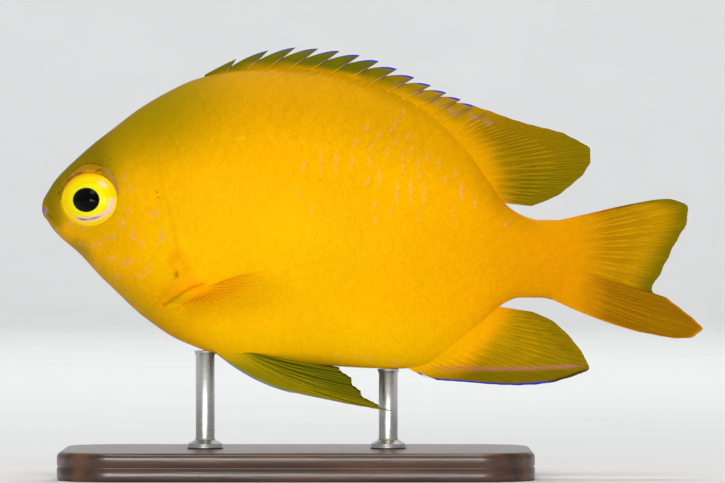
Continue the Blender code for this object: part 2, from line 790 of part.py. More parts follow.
def make_fin(name, rays, rows, near, **shape):
    """A fin trimmed where it meets the body, with a gap all round its root."""
    made = fin(name, rays, rows, **shape)
    combine(made, "DIFFERENCE", near, keep_tools=True)
    return made


# Stand


def make_stand_base():
    """A flat plate with round corners and a small bevel."""
    shaped = bmesh.new()
    corners = []
    for k in range(32):
        angle = 2 * math.pi * (k + 0.5) / 32
        out = (BASE_LENGTH / 2 - BASE_CORNER, BASE_WIDTH / 2 - BASE_CORNER)
        x = math.copysign(out[0], math.cos(angle)) + BASE_CORNER * math.cos(angle)
        y = math.copysign(out[1], math.sin(angle)) + BASE_CORNER * math.sin(angle)
        corners.append(shaped.verts.new((x / 1000, y / 1000, 0)))
    face = shaped.faces.new(corners)
    raised = bmesh.ops.extrude_face_region(shaped, geom=[face])
    top = [v for v in raised["geom"] if isinstance(v, bmesh.types.BMVert)]
    bmesh.ops.translate(shaped, verts=top, vec=(0, 0, BASE_THICKNESS / 1000))
    bmesh.ops.recalc_face_normals(shaped, faces=shaped.faces[:])
    mesh = bpy.data.meshes.new("stand_base")
    shaped.to_mesh(mesh)
    shaped.free()
    base = bpy.data.objects.new("stand_base", mesh)
    bpy.context.scene.collection.objects.link(base)
    bevel = base.modifiers.new("edge", "BEVEL")
    bevel.width = BASE_BEVEL / 1000
    bevel.segments = 2
    bevel.limit_method = "ANGLE"
    bevel.angle_limit = math.radians(50)
    return base


def make_rod(name, x):
    """A rod from the base up to the belly, its top cut to the belly's slope."""
    floor = -SNOUT_HEIGHT
    points = []
    for k in range(ROD_SIDES):
        angle = 2 * math.pi * k / ROD_SIDES
        points.append((x + ROD_RADIUS * math.cos(angle), ROD_RADIUS * math.sin(angle)))
    low = [(px, py, floor + BASE_THICKNESS + GAP) for px, py in points]
    high = [(px, py, belly_line(px) - GAP) for px, py in points]
    high_mid = sum(p[2] for p in high) / ROD_SIDES
    high = [(px, py, high_mid) for px, py in points]
    return solid_object(name, low + high, grid_faces(2, ROD_SIDES))


def build():
    """Makes every node of the model."""
    for obj in list(bpy.data.objects):
        bpy.data.objects.remove(obj)
    swollen = flesh("swollen", GAP)
    looks = {}
    looks[make_head([gill_recess(-1), gill_recess(1)])] = "skin"
    looks[make_gill_cover("gill_cover_left", -1)] = "skin"
    looks[make_gill_cover("gill_cover_right", 1)] = "skin"
    looks[make_torso()] = "skin"
    looks[make_tail_base()] = "skin"
    for name, side in (("eye_left", -1), ("eye_right", 1)):
        looks[union(eye(name, side), [pupil(side)])] = "eye"
    looks[make_fin("dorsal_fin", dorsal_rays(), 4, [swollen], spines=SPINES + 1, root_thickness=1.3)] = "fin"
    looks[make_fin("anal_fin", anal_rays(), 4, [swollen], root_thickness=1.2)] = "fin"
    tail = make_fin("caudal_fin", caudal_rays(), 7, [swollen], root_thickness=1.2, side_lift=caudal_lift)
    looks[tail] = "fin"
    for name, side in (("pelvic_fin_left", -1), ("pelvic_fin_right", 1)):
        looks[make_fin(name, pelvic_rays(side), 7, [swollen], web={0: 0.95, 2: 0.87})] = "fin"
    for name, side in (("pectoral_fin_left", -1), ("pectoral_fin_right", 1)):
        lobe = pectoral_lobe_gap(side)
        looks[make_fin(name, pectoral_rays(side), 5, [swollen, lobe])] = "fin"
        bpy.data.objects.remove(lobe)
    looks[make_stand_base()] = "wood"
    middle = BASE_BEHIND_SNOUT
    looks[make_rod("stand_rod_front", middle - ROD_SPACING / 2)] = "steel"
    looks[make_rod("stand_rod_rear", middle + ROD_SPACING / 2)] = "steel"
    bpy.data.objects.remove(swollen)
    for obj, look in looks.items():
        paint(obj, look)


def pectoral_lobe_gap(side):
    """The pectoral lobe swollen by the gap, which trims the root of the fin on it."""
    lobe = pectoral_lobe(side)
    shaped = bmesh.new()
    shaped.from_mesh(lobe.data)
    for vertex in shaped.verts:
        vertex.co += vertex.normal * (GAP / 1000)
    shaped.to_mesh(lobe.data)
    shaped.free()
    return lobe


build()
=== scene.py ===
import math

import bmesh
import bpy
import numpy as np
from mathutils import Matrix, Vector


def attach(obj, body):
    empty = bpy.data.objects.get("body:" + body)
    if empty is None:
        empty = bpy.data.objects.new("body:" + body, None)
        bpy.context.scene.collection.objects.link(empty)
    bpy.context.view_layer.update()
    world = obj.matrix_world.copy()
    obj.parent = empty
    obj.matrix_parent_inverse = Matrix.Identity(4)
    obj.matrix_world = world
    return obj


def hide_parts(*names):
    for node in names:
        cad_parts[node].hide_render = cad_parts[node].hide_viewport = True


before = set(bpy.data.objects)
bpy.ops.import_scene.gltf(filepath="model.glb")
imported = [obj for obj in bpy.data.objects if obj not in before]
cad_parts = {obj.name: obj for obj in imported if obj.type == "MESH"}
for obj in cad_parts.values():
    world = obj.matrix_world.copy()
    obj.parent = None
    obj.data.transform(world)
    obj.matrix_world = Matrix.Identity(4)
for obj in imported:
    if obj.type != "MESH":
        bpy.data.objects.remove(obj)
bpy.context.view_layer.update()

# A lemon damselfish as a museum model: skin, scales, fins, eyes and stand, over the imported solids.
# Sizes are in the fish's millimetres: x back from the snout, z up from the snout's level, y to the
# fish's right, so its left side faces the camera. placed() turns them into the frame's metres.

# Driving sizes, the same as in the solids
BODY_LENGTH = 57.5
SNOUT_HEIGHT = 28.5
BASE_BEHIND_SNOUT = 27.0
SINK = 1.1
SPINES = 13
DORSAL_RAYS = 14
ANAL_RAYS = 16
CAUDAL_RAYS = 17
PECTORAL_RAYS = 14
BASE_LENGTH, BASE_WIDTH, BASE_THICKNESS = 50.0, 28.0, 3.0
BASE_CORNER = 6.0
ROD_RADIUS = 1.0
ROD_SPACING = 19.4

# How far the skin lies inside the solids, and the scales' own sizes
COAT_DEPTH = 0.04
SCALE_RISE = 0.024
SCALE_LENGTH_SHARE = 0.745

EYE_X, EYE_Z = 5.21, 0.86
EYE_LONG, EYE_TALL = 2.97, 2.79
EYE_DOME = 0.78
PUPIL_SHIFT = (-0.335, -0.03)
PUPIL_LONG, PUPIL_TALL = 1.41, 1.26
LENS_DOME = 0.5
NOSTRIL = (1.8, 1.6)

# The fleshy lobe of a pectoral fin: its middle, the way it points, and half its length and height
LOBE_MIDDLE, LOBE_WAY = (15.4, -8.3), (0.882, 0.471)
LOBE_LONG, LOBE_TALL = 2.5, 1.5

# The body's lines as (x, value) or (x, z), and the brow's by degrees. All are measured from the
# photo but the widths, their level and their edges, which follow the usual build of such a fish
BACK_LINE = [
    (0.0, 0.27), (0.5, 1.59), (1.4, 2.97), (3.0, 4.66), (5.1, 6.57), (7.2, 8.22), (10.4, 10.62),
    (13.6, 12.5), (16.7, 13.8), (20.5, 14.6), (24.7, 14.95), (29.5, 14.7), (34.2, 13.6),
    (38.5, 11.8), (42.2, 9.5), (45.2, 6.7), (47.3, 3.4), (49.1, 0.53), (50.7, -0.64),
    (52.8, -1.22), (54.9, -1.22), (56.5, -1.4), (BODY_LENGTH, -2.2),
]
BELLY_LINE = [
    (0.0, -0.27), (0.4, -1.17), (1.2, -2.33), (2.1, -3.25), (3.8, -4.72), (6.1, -7.18),
    (8.3, -9.32), (10.9, -11.67), (14.1, -13.8), (17.3, -15.15), (20.5, -16.05), (24.2, -16.5),
    (29.5, -16.7), (34.8, -17.0), (37.9, -17.07), (40.1, -16.85), (42.2, -16.11), (44.8, -14.31),
    (47.0, -12.08), (48.9, -10.18), (50.7, -9.54), (52.8, -9.54), (54.9, -9.86), (56.5, -9.75),
    (BODY_LENGTH, -8.9),
]
HALF_WIDTH = [
    (0.0, 0.55), (0.5, 1.15), (1.4, 1.9), (3.0, 2.75), (5.0, 3.65), (7.5, 4.5), (10.5, 5.2),
    (14.0, 5.8), (17.5, 6.2), (21.0, 6.4), (26.0, 6.35), (31.0, 6.0), (36.0, 5.3), (41.0, 4.3),
    (45.0, 3.4), (49.0, 2.5), (52.0, 1.95), (54.5, 1.4), (56.2, 0.85), (BODY_LENGTH, 0.3),
]
WIDEST_LEVEL = [(0.0, 0.5), (6.0, 0.46), (16.0, 0.5), (34.0, 0.52), (BODY_LENGTH, 0.5)]
BACK_EDGE = [(0.0, 1.0), (8.0, 1.0), (20.0, 1.3), (32.0, 1.5), (46.0, 1.5), (BODY_LENGTH, 1.0)]
BELLY_EDGE = [(0.0, 1.0), (8.0, 1.05), (20.0, 1.0), (36.0, 1.15), (44.0, 1.4), (BODY_LENGTH, 1.0)]
GILL_LINE = [
    (13.0, 18.0), (12.3, 9.0), (12.25, 5.0), (12.7, 2.0), (13.5, -0.8), (14.1, -3.4),
    (14.25, -5.4), (13.85, -7.3), (12.9, -9.0), (11.8, -10.6), (10.6, -12.6), (8.5, -20.0),
]
COVER_FRONT = [
    (7.6, -7.9), (9.2, -7.2), (10.3, -5.8), (10.9, -3.8), (11.0, -1.6), (10.8, 0.8), (10.5, 3.0),
    (10.9, 4.0),
]
MOUTH_LINE = [(0.0, -0.05), (0.45, -0.55), (1.15, -1.3)]
BROW_LINE = [
    (-180, 1.03), (0, 1.04), (12, 1.07), (35, 1.12), (44, 1.18), (54, 1.24), (64, 1.3), (74, 1.34),
    (85, 1.37), (96, 1.375), (111, 1.3), (122, 1.22), (135, 1.17), (148, 1.12), (165, 1.05), (180, 1.03),
]
OLIVE_LINE = [
    (16.0, 12.8), (19.6, 14.3), (23.0, 14.8), (27.3, 14.9), (31.0, 14.4), (35.0, 13.4), (39.0, 11.9),
    (42.2, 10.2), (45.4, 8.3), (47.2, 6.1), (48.0, 4.0), (48.8, 1.2), (49.6, -2.0),
]
# Levels between which the gill covers' rear edges stand out, and where they fade
GILL_SPAN = (-11.5, -9.8, 4.6, 6.2)
HEAD_PORES = [
    (2.9, -0.6), (2.75, -1.9), (3.9, -3.0), (5.4, -3.55), (7.0, -3.4), (8.6, -2.4), (2.6, 3.3),
    (4.2, 5.1), (8.9, 2.0), (9.1, 4.2),
]
# The folds of cheek and throat: a line, the fold's depth and width, and how far it takes to deepen
FOLDS = [
    ([(1.9, -2.5), (3.0, -3.2), (4.6, -3.75), (6.4, -3.7), (7.9, -3.0)], 0.02, 0.12, 0.6),
    ([(3.6, -4.3), (5.6, -5.6), (7.6, -7.7), (9.6, -9.4)], 0.05, 0.16, 1.0),
    ([(5.0, -5.8), (7.0, -7.6), (9.4, -9.9), (11.0, -11.0)], 0.05, 0.16, 1.0),
]
# Lines round the root of a pectoral fin: its orange flesh, the skin below it, its dark mark, and the fold
# along which shade is painted
PECTORAL_FOOT = [(14.4, -5.3), (15.3, -6.9), (15.9, -8.0), (14.2, -8.7), (13.0, -9.8)]
PECTORAL_LOWER = [(13.6, -10.1), (15.0, -9.6), (16.2, -9.0)]
PECTORAL_MARK = [[(14.25, -7.4), (14.4, -6.9), (14.55, -6.75)], [(14.4, -7.0), (14.6, -7.3)]]
PECTORAL_FOLD_SHADE = [(12.75, -10.25), (13.3, -10.15), (14.2, -9.5), (15.2, -8.75), (16.2, -8.25), (17.3, -7.95)]


# Smooth functions


def curve_through(points):
    """A smooth function of arrays through (position, value) points, without overshoot."""
    places = np.array([p[0] for p in points], float)
    values = np.array([p[1] for p in points], float)
    steps = np.diff(places)
    slopes = np.diff(values) / steps
    turns = np.zeros(len(points))
    turns[0], turns[-1] = slopes[0], slopes[-1]
    for i in range(1, len(points) - 1):
        if slopes[i - 1] * slopes[i] > 0:
            first = 2 * steps[i] + steps[i - 1]
            second = steps[i] + 2 * steps[i - 1]
            turns[i] = (first + second) / (first / slopes[i - 1] + second / slopes[i])

    def at(position):
        x = np.clip(position, places[0], places[-1])
        i = np.clip(np.searchsorted(places, x, side="right") - 1, 0, len(steps) - 1)
        t = (x - places[i]) / steps[i]
        rise = values[i] * (1 + 2 * t) * (1 - t) ** 2 + values[i + 1] * t * t * (3 - 2 * t)
        turn = turns[i] * t * (1 - t) ** 2 - turns[i + 1] * t * t * (1 - t)
        return rise + steps[i] * turn

    return at


def rounded_profile(points):
    """The same for an outline that rounds off at the snout, where it starts upright."""
    at = curve_through([(math.sqrt(x), value) for x, value in points])
    return lambda x: at(np.sqrt(np.maximum(x, 0.0)))


back_line = rounded_profile(BACK_LINE)
belly_line = rounded_profile(BELLY_LINE)
half_width = rounded_profile(HALF_WIDTH)
widest_level = curve_through(WIDEST_LEVEL)
back_edge = curve_through(BACK_EDGE)
belly_edge = curve_through(BELLY_EDGE)
gill_x = curve_through([(z, x) for x, z in GILL_LINE[::-1]])
cover_x = curve_through([(z, x) for x, z in COVER_FRONT])
brow_line = curve_through(BROW_LINE)
olive_line = curve_through(OLIVE_LINE)

# How many sine waves the unevenness of waves() adds up
WAVE_COUNT = 7


def step(value, low, high):
    """0 below low, 1 above high, and smooth between. low may be the larger one."""
    t = np.clip((value - low) / (high - low), 0.0, 1.0)
    return t * t * (3 - 2 * t)


def within(value, start, full, fading, end):
    """0 before start and after end, 1 from full to fading, and smooth between."""
    return step(value, start, full) * step(value, end, fading)


def hump(value, middle, width):
    return np.exp(-(((value - middle) / width) ** 2))


def spot(x, z, middle, width):
    """1 at a middle's (x, z), fading round it."""
    return hump(np.hypot(x - middle[0], z - middle[1]), 0.0, width)


def turned(x, z, middle, way):
    """How far a point lies from a middle along a way, given by its cosine and sine, and across it."""
    along = (x - middle[0]) * way[0] + (z - middle[1]) * way[1]
    across = (z - middle[1]) * way[0] - (x - middle[0]) * way[1]
    return along, across


def waves(x, z, size, seed):
    """Smooth seeded unevenness between about -1 and 1, with lumps about size across."""
    draw = np.random.default_rng(seed)
    total = np.zeros(np.broadcast(x, z).shape)
    for _ in range(WAVE_COUNT):
        heading, phase = draw.uniform(0, 2 * math.pi, 2)
        pace = 2 * math.pi / (size * draw.uniform(1.2, 2.6))
        total = total + np.sin(pace * (x * math.cos(heading) + z * math.sin(heading)) + phase)
    return total / 4.0


def distance_to(line, x, z):
    """The distance of points from a line of (x, z) points, and how far along it the nearest lies."""
    nearest = np.full(np.shape(x), 1e9)
    along = np.zeros(np.shape(x))
    walked = 0.0
    for (x0, z0), (x1, z1) in zip(line, line[1:]):
        length = math.hypot(x1 - x0, z1 - z0)
        t = ((x - x0) * (x1 - x0) + (z - z0) * (z1 - z0)) / length ** 2
        t = np.clip(t, 0.0, 1.0)
        away = np.hypot(x - x0 - t * (x1 - x0), z - z0 - t * (z1 - z0))
        along = np.where(away < nearest, walked + t * length, along)
        nearest = np.minimum(nearest, away)
        walked += length
    return nearest, along


# Flesh


def section(x):
    top, bottom = back_line(x), belly_line(x)
    level = bottom + (top - bottom) * widest_level(x)
    return level, top - level, level - bottom, half_width(x)


def flesh(x, angle):
    """Points of the body's surface. The angle runs round a section, 0 at the fish's right."""
    level, above, below, width = section(x)
    up, out = np.sin(angle), np.cos(angle)
    edge = np.where(up > 0, back_edge(x), belly_edge(x))
    y = width * np.sign(out) * np.abs(out) ** edge
    z = level + np.where(up > 0, above, below) * up
    return np.stack(np.broadcast_arrays(x, y, z), axis=-1)


def unit(vectors):
    return vectors / np.maximum(np.linalg.norm(vectors, axis=-1, keepdims=True), 1e-9)


def flesh_normal(x, angle):
    along = flesh(x + 0.02, angle) - flesh(np.maximum(x - 0.02, 0.0), angle)
    round_about = flesh(x, angle + 0.004) - flesh(x, angle - 0.004)
    return unit(np.cross(round_about, along))


def side_y(x, z):
    """How far the flesh reaches from the middle plane at (x, z)."""
    level, above, below, width = section(x)
    share = np.abs(z - level) / np.where(z > level, above, below)
    edge = np.where(z > level, back_edge(x), belly_edge(x))
    return width * np.maximum(1 - share * share, 0.0) ** (0.5 * edge)


def eye_radius(x, z):
    """1 on the eye's edge, less inside it."""
    return np.hypot((x - EYE_X) / EYE_LONG, (z - EYE_Z) / EYE_TALL)


def eye_turn(x, z):
    """The way from the eye's middle, in degrees: 0 to the rear, 90 up."""
    return np.degrees(np.arctan2((z - EYE_Z) / EYE_TALL, (x - EYE_X) / EYE_LONG))


def lobe_place(x, z):
    """Where a point lies on the fleshy lobe of a pectoral fin: 0 at its middle, 1 on its edge."""
    along, across = turned(x, z, LOBE_MIDDLE, LOBE_WAY)
    return np.hypot(along / LOBE_LONG, across / LOBE_TALL)


def brow_radius(x, z):
    """Where the fold of skin over the eye ends: highest above it, close to it before and behind."""
    return brow_line(eye_turn(x, z))


def plate_edge(behind, rise, length, end, depth, middle, width):
    """A plate that rises towards its rear edge and ends there, and the groove behind it."""
    plate = rise * np.exp(np.minimum(behind, 0) / length) * step(behind, end, 0.0)
    return plate - depth * hump(behind, middle, width)


def relief(x, z):
    """How far the skin stands out from the smooth flesh: rims, lips, plates and folds."""
    r = eye_radius(x, z)
    brow = brow_radius(x, z)
    height = 0.05 * hump(r, 1.06, 0.04) - 1.3 * step(r, 1.02, 0.94)
    height += 0.07 * step(r, brow, brow - 0.06) - 0.05 * hump(r, brow + 0.02, 0.03)
    away, along = distance_to(MOUTH_LINE, x, z)
    lips = 0.1 * hump(away, 0.3, 0.16) - 0.16 * hump(away, 0.0, 0.09) - 0.06 * hump(away, 0.62, 0.12)
    height += lips * step(along, 1.7, 1.2)
    height -= 0.07 * np.exp(-((x - 1.75) / 0.2) ** 2 - ((z + 1.9) / 0.6) ** 2)
    pit = np.hypot(x - NOSTRIL[0], z - NOSTRIL[1])
    height += 0.06 * hump(pit, 0.3, 0.09) - 0.16 * hump(pit, 0.0, 0.13)
    for pore in HEAD_PORES:
        height -= 0.05 * spot(x, z, pore, 0.08)
    behind = x - cover_x(z) + 0.05 * np.abs(np.sin(z * 6.5))
    height += within(z, -8.2, -7.2, 3.2, 4.4) * plate_edge(behind, 0.035, 1.4, 0.14, 0.015, 0.22, 0.14)
    height += within(z, *GILL_SPAN) * plate_edge(x - gill_x(z), 0.06, 1.1, 0.16, 0.035, 0.27, 0.17)
    for line, depth, width, start in FOLDS:
        away, along = distance_to(line, x, z)
        height -= depth * hump(away, 0.0, width) * step(along, 0.0, start)
    lobe = lobe_place(x, z)
    height += 0.5 * np.maximum(1 - lobe ** 2, 0.0) - 0.03 * hump(lobe, 1.08, 0.1)
    return height + 0.02 * waves(x, z, 2.6, 5)


# Colours, written as they look on a screen


def shade(red, green, blue):
    """A colour from 0 to 255 values, made linear."""
    value = np.array((red, green, blue), float) / 255
    return np.where(value <= 0.04045, value / 12.92, ((value + 0.055) / 1.055) ** 2.4)


def mix(under, over, share):
    return under + (over - under) * np.asarray(share)[..., None]


LEMON = shade(254, 182, 1)
BRIGHT = shade(255, 193, 2)
AMBER = shade(241, 158, 2)
# Darker yellow of the upper back: partly the fish's own tone, partly painted shade where the back turns
# away from the light
BACK_YELLOW_AND_SHADE = shade(224, 160, 2)
NAPE = shade(168, 139, 4)
SNOUT = shade(140, 118, 5)
JAW = shade(148, 122, 4)
CHIN = shade(160, 128, 10)
CHEEK = shade(224, 170, 5)
# Painted shade under the throat, where it turns down away from the light
THROAT_SHADE = shade(206, 160, 3)
# Lighter yellow of the lower belly: partly its own tone, partly painted light against the shade under the
# belly
PAINTED_BELLY_LIGHT = shade(255, 195, 3)
PINK = shade(232, 164, 104)
FLANK_TONE = shade(232, 182, 128)
BLUE = shade(36, 58, 205)
DEEP_BLUE = shade(8, 40, 205)
PLUM = shade(92, 66, 72)
ORANGE = shade(254, 172, 2)

# Streaks below the back fin, bars on the lips, dots behind and over the eye as (x, z), and short
# strokes over it: x, z, length and lean in degrees
STREAK_LEAN, STREAK_SPACING = math.radians(33), 0.55
LIP_BARS = [(0.0, shade(58, 52, 176)), (0.28, shade(158, 132, 214)), (0.56, shade(190, 126, 110))]
NAPE_DOTS = [(12.4, 1.6), (12.5, 1.1)]
BROW_DOTS = [(6.54, 4.85), (7.08, 4.45), (7.75, 3.5), (8.05, 2.75), (7.4, 5.1)]
BROW_STROKES = [(6.02, 3.9, 0.55, 40), (6.4, 4.0, 0.45, 42), (6.72, 3.8, 0.3, 120)]
MARK_SEED = 11

# Small marks: place behind the snout and above its level, length, lean in degrees from the line
# of the body, and strength
FACE_MARKS = [
    (4.2, -3.8, 0.5, 10, 0.8), (5.9, -3.9, 1.5, 25, 0.9), (7.1, -3.2, 0.5, 20, 0.7),
    (7.8, -3.0, 0.5, 20, 0.8), (8.7, -1.8, 1.1, 85, 0.8), (9.3, -0.3, 0.8, 80, 0.5),
    (12.1, -0.6, 1.0, 20, 1.0), (12.9, -3.1, 1.3, 60, 0.9), (9.9, -2.8, 0.8, 60, 0.7),
    (10.7, -3.8, 0.7, 70, 0.7), (9.8, -3.2, 0.5, 40, 0.6), (7.5, -5.4, 0.7, 20, 0.8),
    (9.4, -5.6, 1.1, 15, 1.0), (8.7, -5.9, 0.6, 10, 0.7), (11.4, -6.5, 1.0, 80, 0.8),
    (10.5, -7.3, 0.6, 60, 0.7), (8.2, -7.3, 0.6, 30, 0.7), (9.6, 2.0, 0.9, 70, 0.4),
    (8.9, 3.2, 0.8, 60, 0.4), (3.1, -1.6, 0.9, 30, 0.9), (4.3, -2.1, 1.1, 8, 0.6),
    (1.6, -2.3, 0.6, 35, 0.8),
]
FLANK_MARKS = [
    (34.3, 8.5, 0.8, 60, 0.9), (35.8, 7.7, 0.7, 70, 0.8), (37.1, 8.4, 0.9, 60, 0.9),
    (37.7, 9.2, 0.8, 50, 0.8), (38.2, 10.0, 0.8, 50, 0.7), (33.2, 7.0, 0.9, 75, 0.8),
    (34.8, 6.5, 0.8, 75, 0.8), (36.5, 6.0, 0.9, 80, 0.8), (37.4, 7.0, 0.8, 70, 0.8),
    (39.1, 6.1, 0.8, 80, 0.9), (38.8, 7.6, 0.8, 60, 0.8), (40.7, 5.5, 0.9, 75, 0.8),
    (42.0, 4.8, 0.8, 75, 0.8), (43.8, 3.6, 0.8, 75, 0.8), (29.6, 4.7, 2.2, 88, 0.6),
    (31.2, 4.6, 2.2, 88, 0.6), (32.9, 4.7, 1.2, 85, 0.7), (34.7, 5.0, 0.9, 80, 0.8),
    (35.7, 3.4, 1.6, 85, 0.9), (34.5, 2.8, 0.9, 80, 0.7), (37.6, 1.7, 2.0, 87, 0.9),
    (39.1, 1.7, 2.0, 87, 0.9), (40.5, 1.4, 2.1, 87, 0.9), (38.2, 5.4, 0.9, 80, 0.8),
    (38.2, 4.1, 0.9, 80, 0.8), (39.8, 4.7, 0.8, 80, 0.8), (39.9, 3.5, 0.9, 80, 0.8),
    (42.7, 3.0, 1.0, 80, 0.8), (44.4, 1.7, 1.8, 85, 1.0), (45.8, 0.6, 1.0, 75, 0.8),
    (35.3, 0.5, 0.9, 80, 0.6), (35.3, -1.2, 0.8, 80, 0.5), (36.9, -0.6, 0.9, 80, 0.6),
    (39.9, -1.0, 0.9, 80, 0.6), (43.5, -0.6, 1.0, 80, 0.6), (49.3, -1.7, 1.0, 40, 0.8),
    (27.8, 4.5, 1.2, 85, 0.4), (27.1, 1.5, 1.0, 85, 0.35), (28.6, -0.1, 0.8, 80, 0.35),
]
BELLY_MARKS = [
    (33.4, -15.8, 0.5, 0, 0.8), (34.8, -15.9, 0.9, -5, 0.9), (37.4, -16.5, 0.9, -8, 0.9),
    (39.4, -16.9, 0.5, -10, 0.8), (31.6, -15.7, 0.5, 5, 0.5),
]
LATERAL_MARKS = [
    (17.9, 6.9, 0.9, 5, 0.4), (19.6, 7.05, 1.0, 4, 0.5), (21.2, 7.2, 1.0, 2, 0.55),
    (22.9, 7.25, 1.0, 0, 0.55), (24.5, 7.2, 1.0, -2, 0.55), (26.1, 7.05, 1.0, -5, 0.5),
    (27.7, 6.85, 1.0, -8, 0.5), (29.3, 6.6, 0.9, -10, 0.4), (30.9, 6.25, 0.9, -14, 0.35),
    (32.5, 5.8, 0.8, -16, 0.3),
]
BODY_MARKS = [
    (FACE_MARKS, PINK, 0.22), (FLANK_MARKS, FLANK_TONE, 0.1), (BELLY_MARKS, PINK, 0.13),
    (LATERAL_MARKS, shade(255, 214, 60), 0.08),
]


def layered(colour, layers):
    """A colour with tones laid over it one by one, each by its share."""
    for tone, share in layers:
        colour = mix(colour, tone, share)
    return colour


def marked(colour, x, z, right, marks, tone, width):
    """Soft bars of a tone over a colour. The fish's right side has them a little elsewhere."""
    draw = np.random.default_rng(MARK_SEED)
    wander = 0.12 * waves(x, z, 0.7, 71)
    broken = np.clip(0.62 + 0.5 * waves(x, z, 0.45, 72), 0.1, 1.0)
    for place_x, place_z, length, lean, strength in marks:
        shift_x, shift_z, turn = draw.uniform(-1, 1, 3)
        middle = (place_x + np.where(right, 0.5 * shift_x, 0.0),
                  place_z + np.where(right, 0.4 * shift_z, 0.0))
        angle = np.radians(lean) + np.where(right, 0.3 * turn, 0.0)
        along, across = turned(x, z, middle, (np.cos(angle), np.sin(angle)))
        reach = np.abs(2 * along / length) ** 3 + ((across + wander) / width) ** 2
        colour = mix(colour, tone, 0.85 * strength * broken * np.exp(-reach))
    return colour


def body_colour(x, y, z):
    """The body's colour at points of its skin or scales."""
    level, above, below, _ = section(x)
    height = (z - level) / np.maximum(np.where(z > level, above, below), 0.1)
    across = z * math.cos(STREAK_LEAN) - x * math.sin(STREAK_LEAN)
    streaks = 0.55 + 0.45 * np.sin(2 * math.pi * across / STREAK_SPACING + 3.5 * waves(x, z, 1.8, 81))
    near_back = step(z, back_line(x) - 2.0, back_line(x) - 0.1) * within(x, 19.0, 27.0, 42.0, 46.0)
    rust = step(waves(x, z, 0.8, 61), 0.1, 0.7) * step(np.hypot(x, z - 0.6), 2.6, 1.2)
    colour = layered(LEMON, [
        (BRIGHT, hump(z, -5.0, 5.0) * within(x, 9.0, 14.0, 26.0, 40.0)),
        (AMBER, 0.95 * step(x, 36.0, 56.0)),
        # Painted light, partly the belly's own brighter tone: the lower belly lighter
        (PAINTED_BELLY_LIGHT, step(height, -0.45, -0.95) * within(x, 13.0, 20.0, 36.0, 47.0)),
        # The upper back darker, less so towards the tail: partly its own tone, partly painted shade
        (BACK_YELLOW_AND_SHADE, step(height, 0.3, 0.85) * (0.75 - 0.5 * step(x, 36.0, 44.0))),
        (shade(188, 138, 4), 0.5 * near_back * streaks),
        (CHEEK, 0.75 * step(x, 11.5, 6.5) * step(height, -0.75, -0.3)),
        (NAPE, step(height, 0.16, 0.9) * within(x, 4.0, 9.0, 12.0, 25.0)),
        (SNOUT, step(z, -1.6, 2.6) * step(x, 9.2, 5.8) * step(height, -0.2, 0.3)),
        (SNOUT, step(np.hypot(x, z - 0.2), 3.8, 0.8)),
        (JAW, 0.8 * step(np.hypot(x - 0.6, z + 1.6), 2.2, 0.8)),
        (CHIN, step(np.hypot(x - 3.6, z + 5.0), 2.4, 0.6)),
        # Painted shade: the throat darker underneath
        (THROAT_SHADE, 0.7 * step(height, -0.5, -0.95) * step(x, 17.0, 10.0)),
        (shade(176, 118, 4), 0.5 * rust),
    ])
    colour = brow_colour(pectoral_base_colour(colour, x, z), x, z)
    away, along = distance_to(MOUTH_LINE, x, z)
    layers = [(shade(96, 70, 20), 0.3 * hump(away, 0.0, 0.08) * step(along, 1.7, 1.2))]
    for place, tone in LIP_BARS:
        lip = ((x - place + 0.25 * (z + 0.3)) / 0.13) ** 2 + ((z + 0.32) / 0.36) ** 2
        layers.append((tone, 0.9 * np.exp(-lip ** 1.5)))
    layers.append((shade(84, 66, 10), 0.5 * spot(x, z, NOSTRIL, 0.12)))
    # Painted shade in the groove behind the gill covers' rear edges
    layers.append((shade(206, 140, 4), 0.16 * within(z, *GILL_SPAN) * hump(x - gill_x(z), 0.25, 0.2)))
    layers += [(shade(60, 50, 10), 0.7 * spot(x, z, dot, 0.1)) for dot in NAPE_DOTS]
    layers += [(shade(90, 70, 6), 0.6 * spot(x, z, dot, 0.09)) for dot in BROW_DOTS]
    colour = layered(colour, layers)
    for marks, tone, width in BODY_MARKS:
        colour = marked(colour, x, z, y > 0, marks, tone, width)
    # Painted light: the belly, and a little the flank, brightened past the other paints against the shade
    # under them
    painted_light = np.maximum(step(height, 0.1, -0.9), 0.35 * step(height, 0.8, 0.3))
    painted_light = painted_light * within(x, 12.5, 19.5, 44.0, 53.0)
    uneven = 0.03 * waves(x, z, 5.0, 21) + 0.02 * waves(x, z, 1.1, 22)
    return colour * (1 + uneven + 0.22 * painted_light)[..., None]


def pectoral_base_colour(colour, x, z):
    """The orange flesh over the root of a pectoral fin, painted shade along the fold line below it, and its
    dark mark.
    """
    away, along = distance_to(PECTORAL_FOLD_SHADE, x, z)
    wide = 0.2 - 0.09 * step(along, 0.6, 4.0)
    layers = [
        (ORANGE, 0.9 * step(distance_to(PECTORAL_FOOT, x, z)[0], 1.5, 0.4)),
        (BRIGHT, 0.8 * spot(x, z, (14.6, -6.1), 0.45)),
        (BRIGHT, 0.8 * step(distance_to(PECTORAL_LOWER, x, z)[0], 0.75, 0.3)),
        # Painted shade along the fold under the fleshy lobe
        (shade(200, 112, 2), 0.8 * np.exp(-(away / wide) ** 2) * step(along, 0.0, 0.3)),
    ]
    for line in PECTORAL_MARK:
        layers.append((shade(96, 40, 8), 0.75 * hump(distance_to(line, x, z)[0], 0.0, 0.08)))
    return layered(colour, layers)


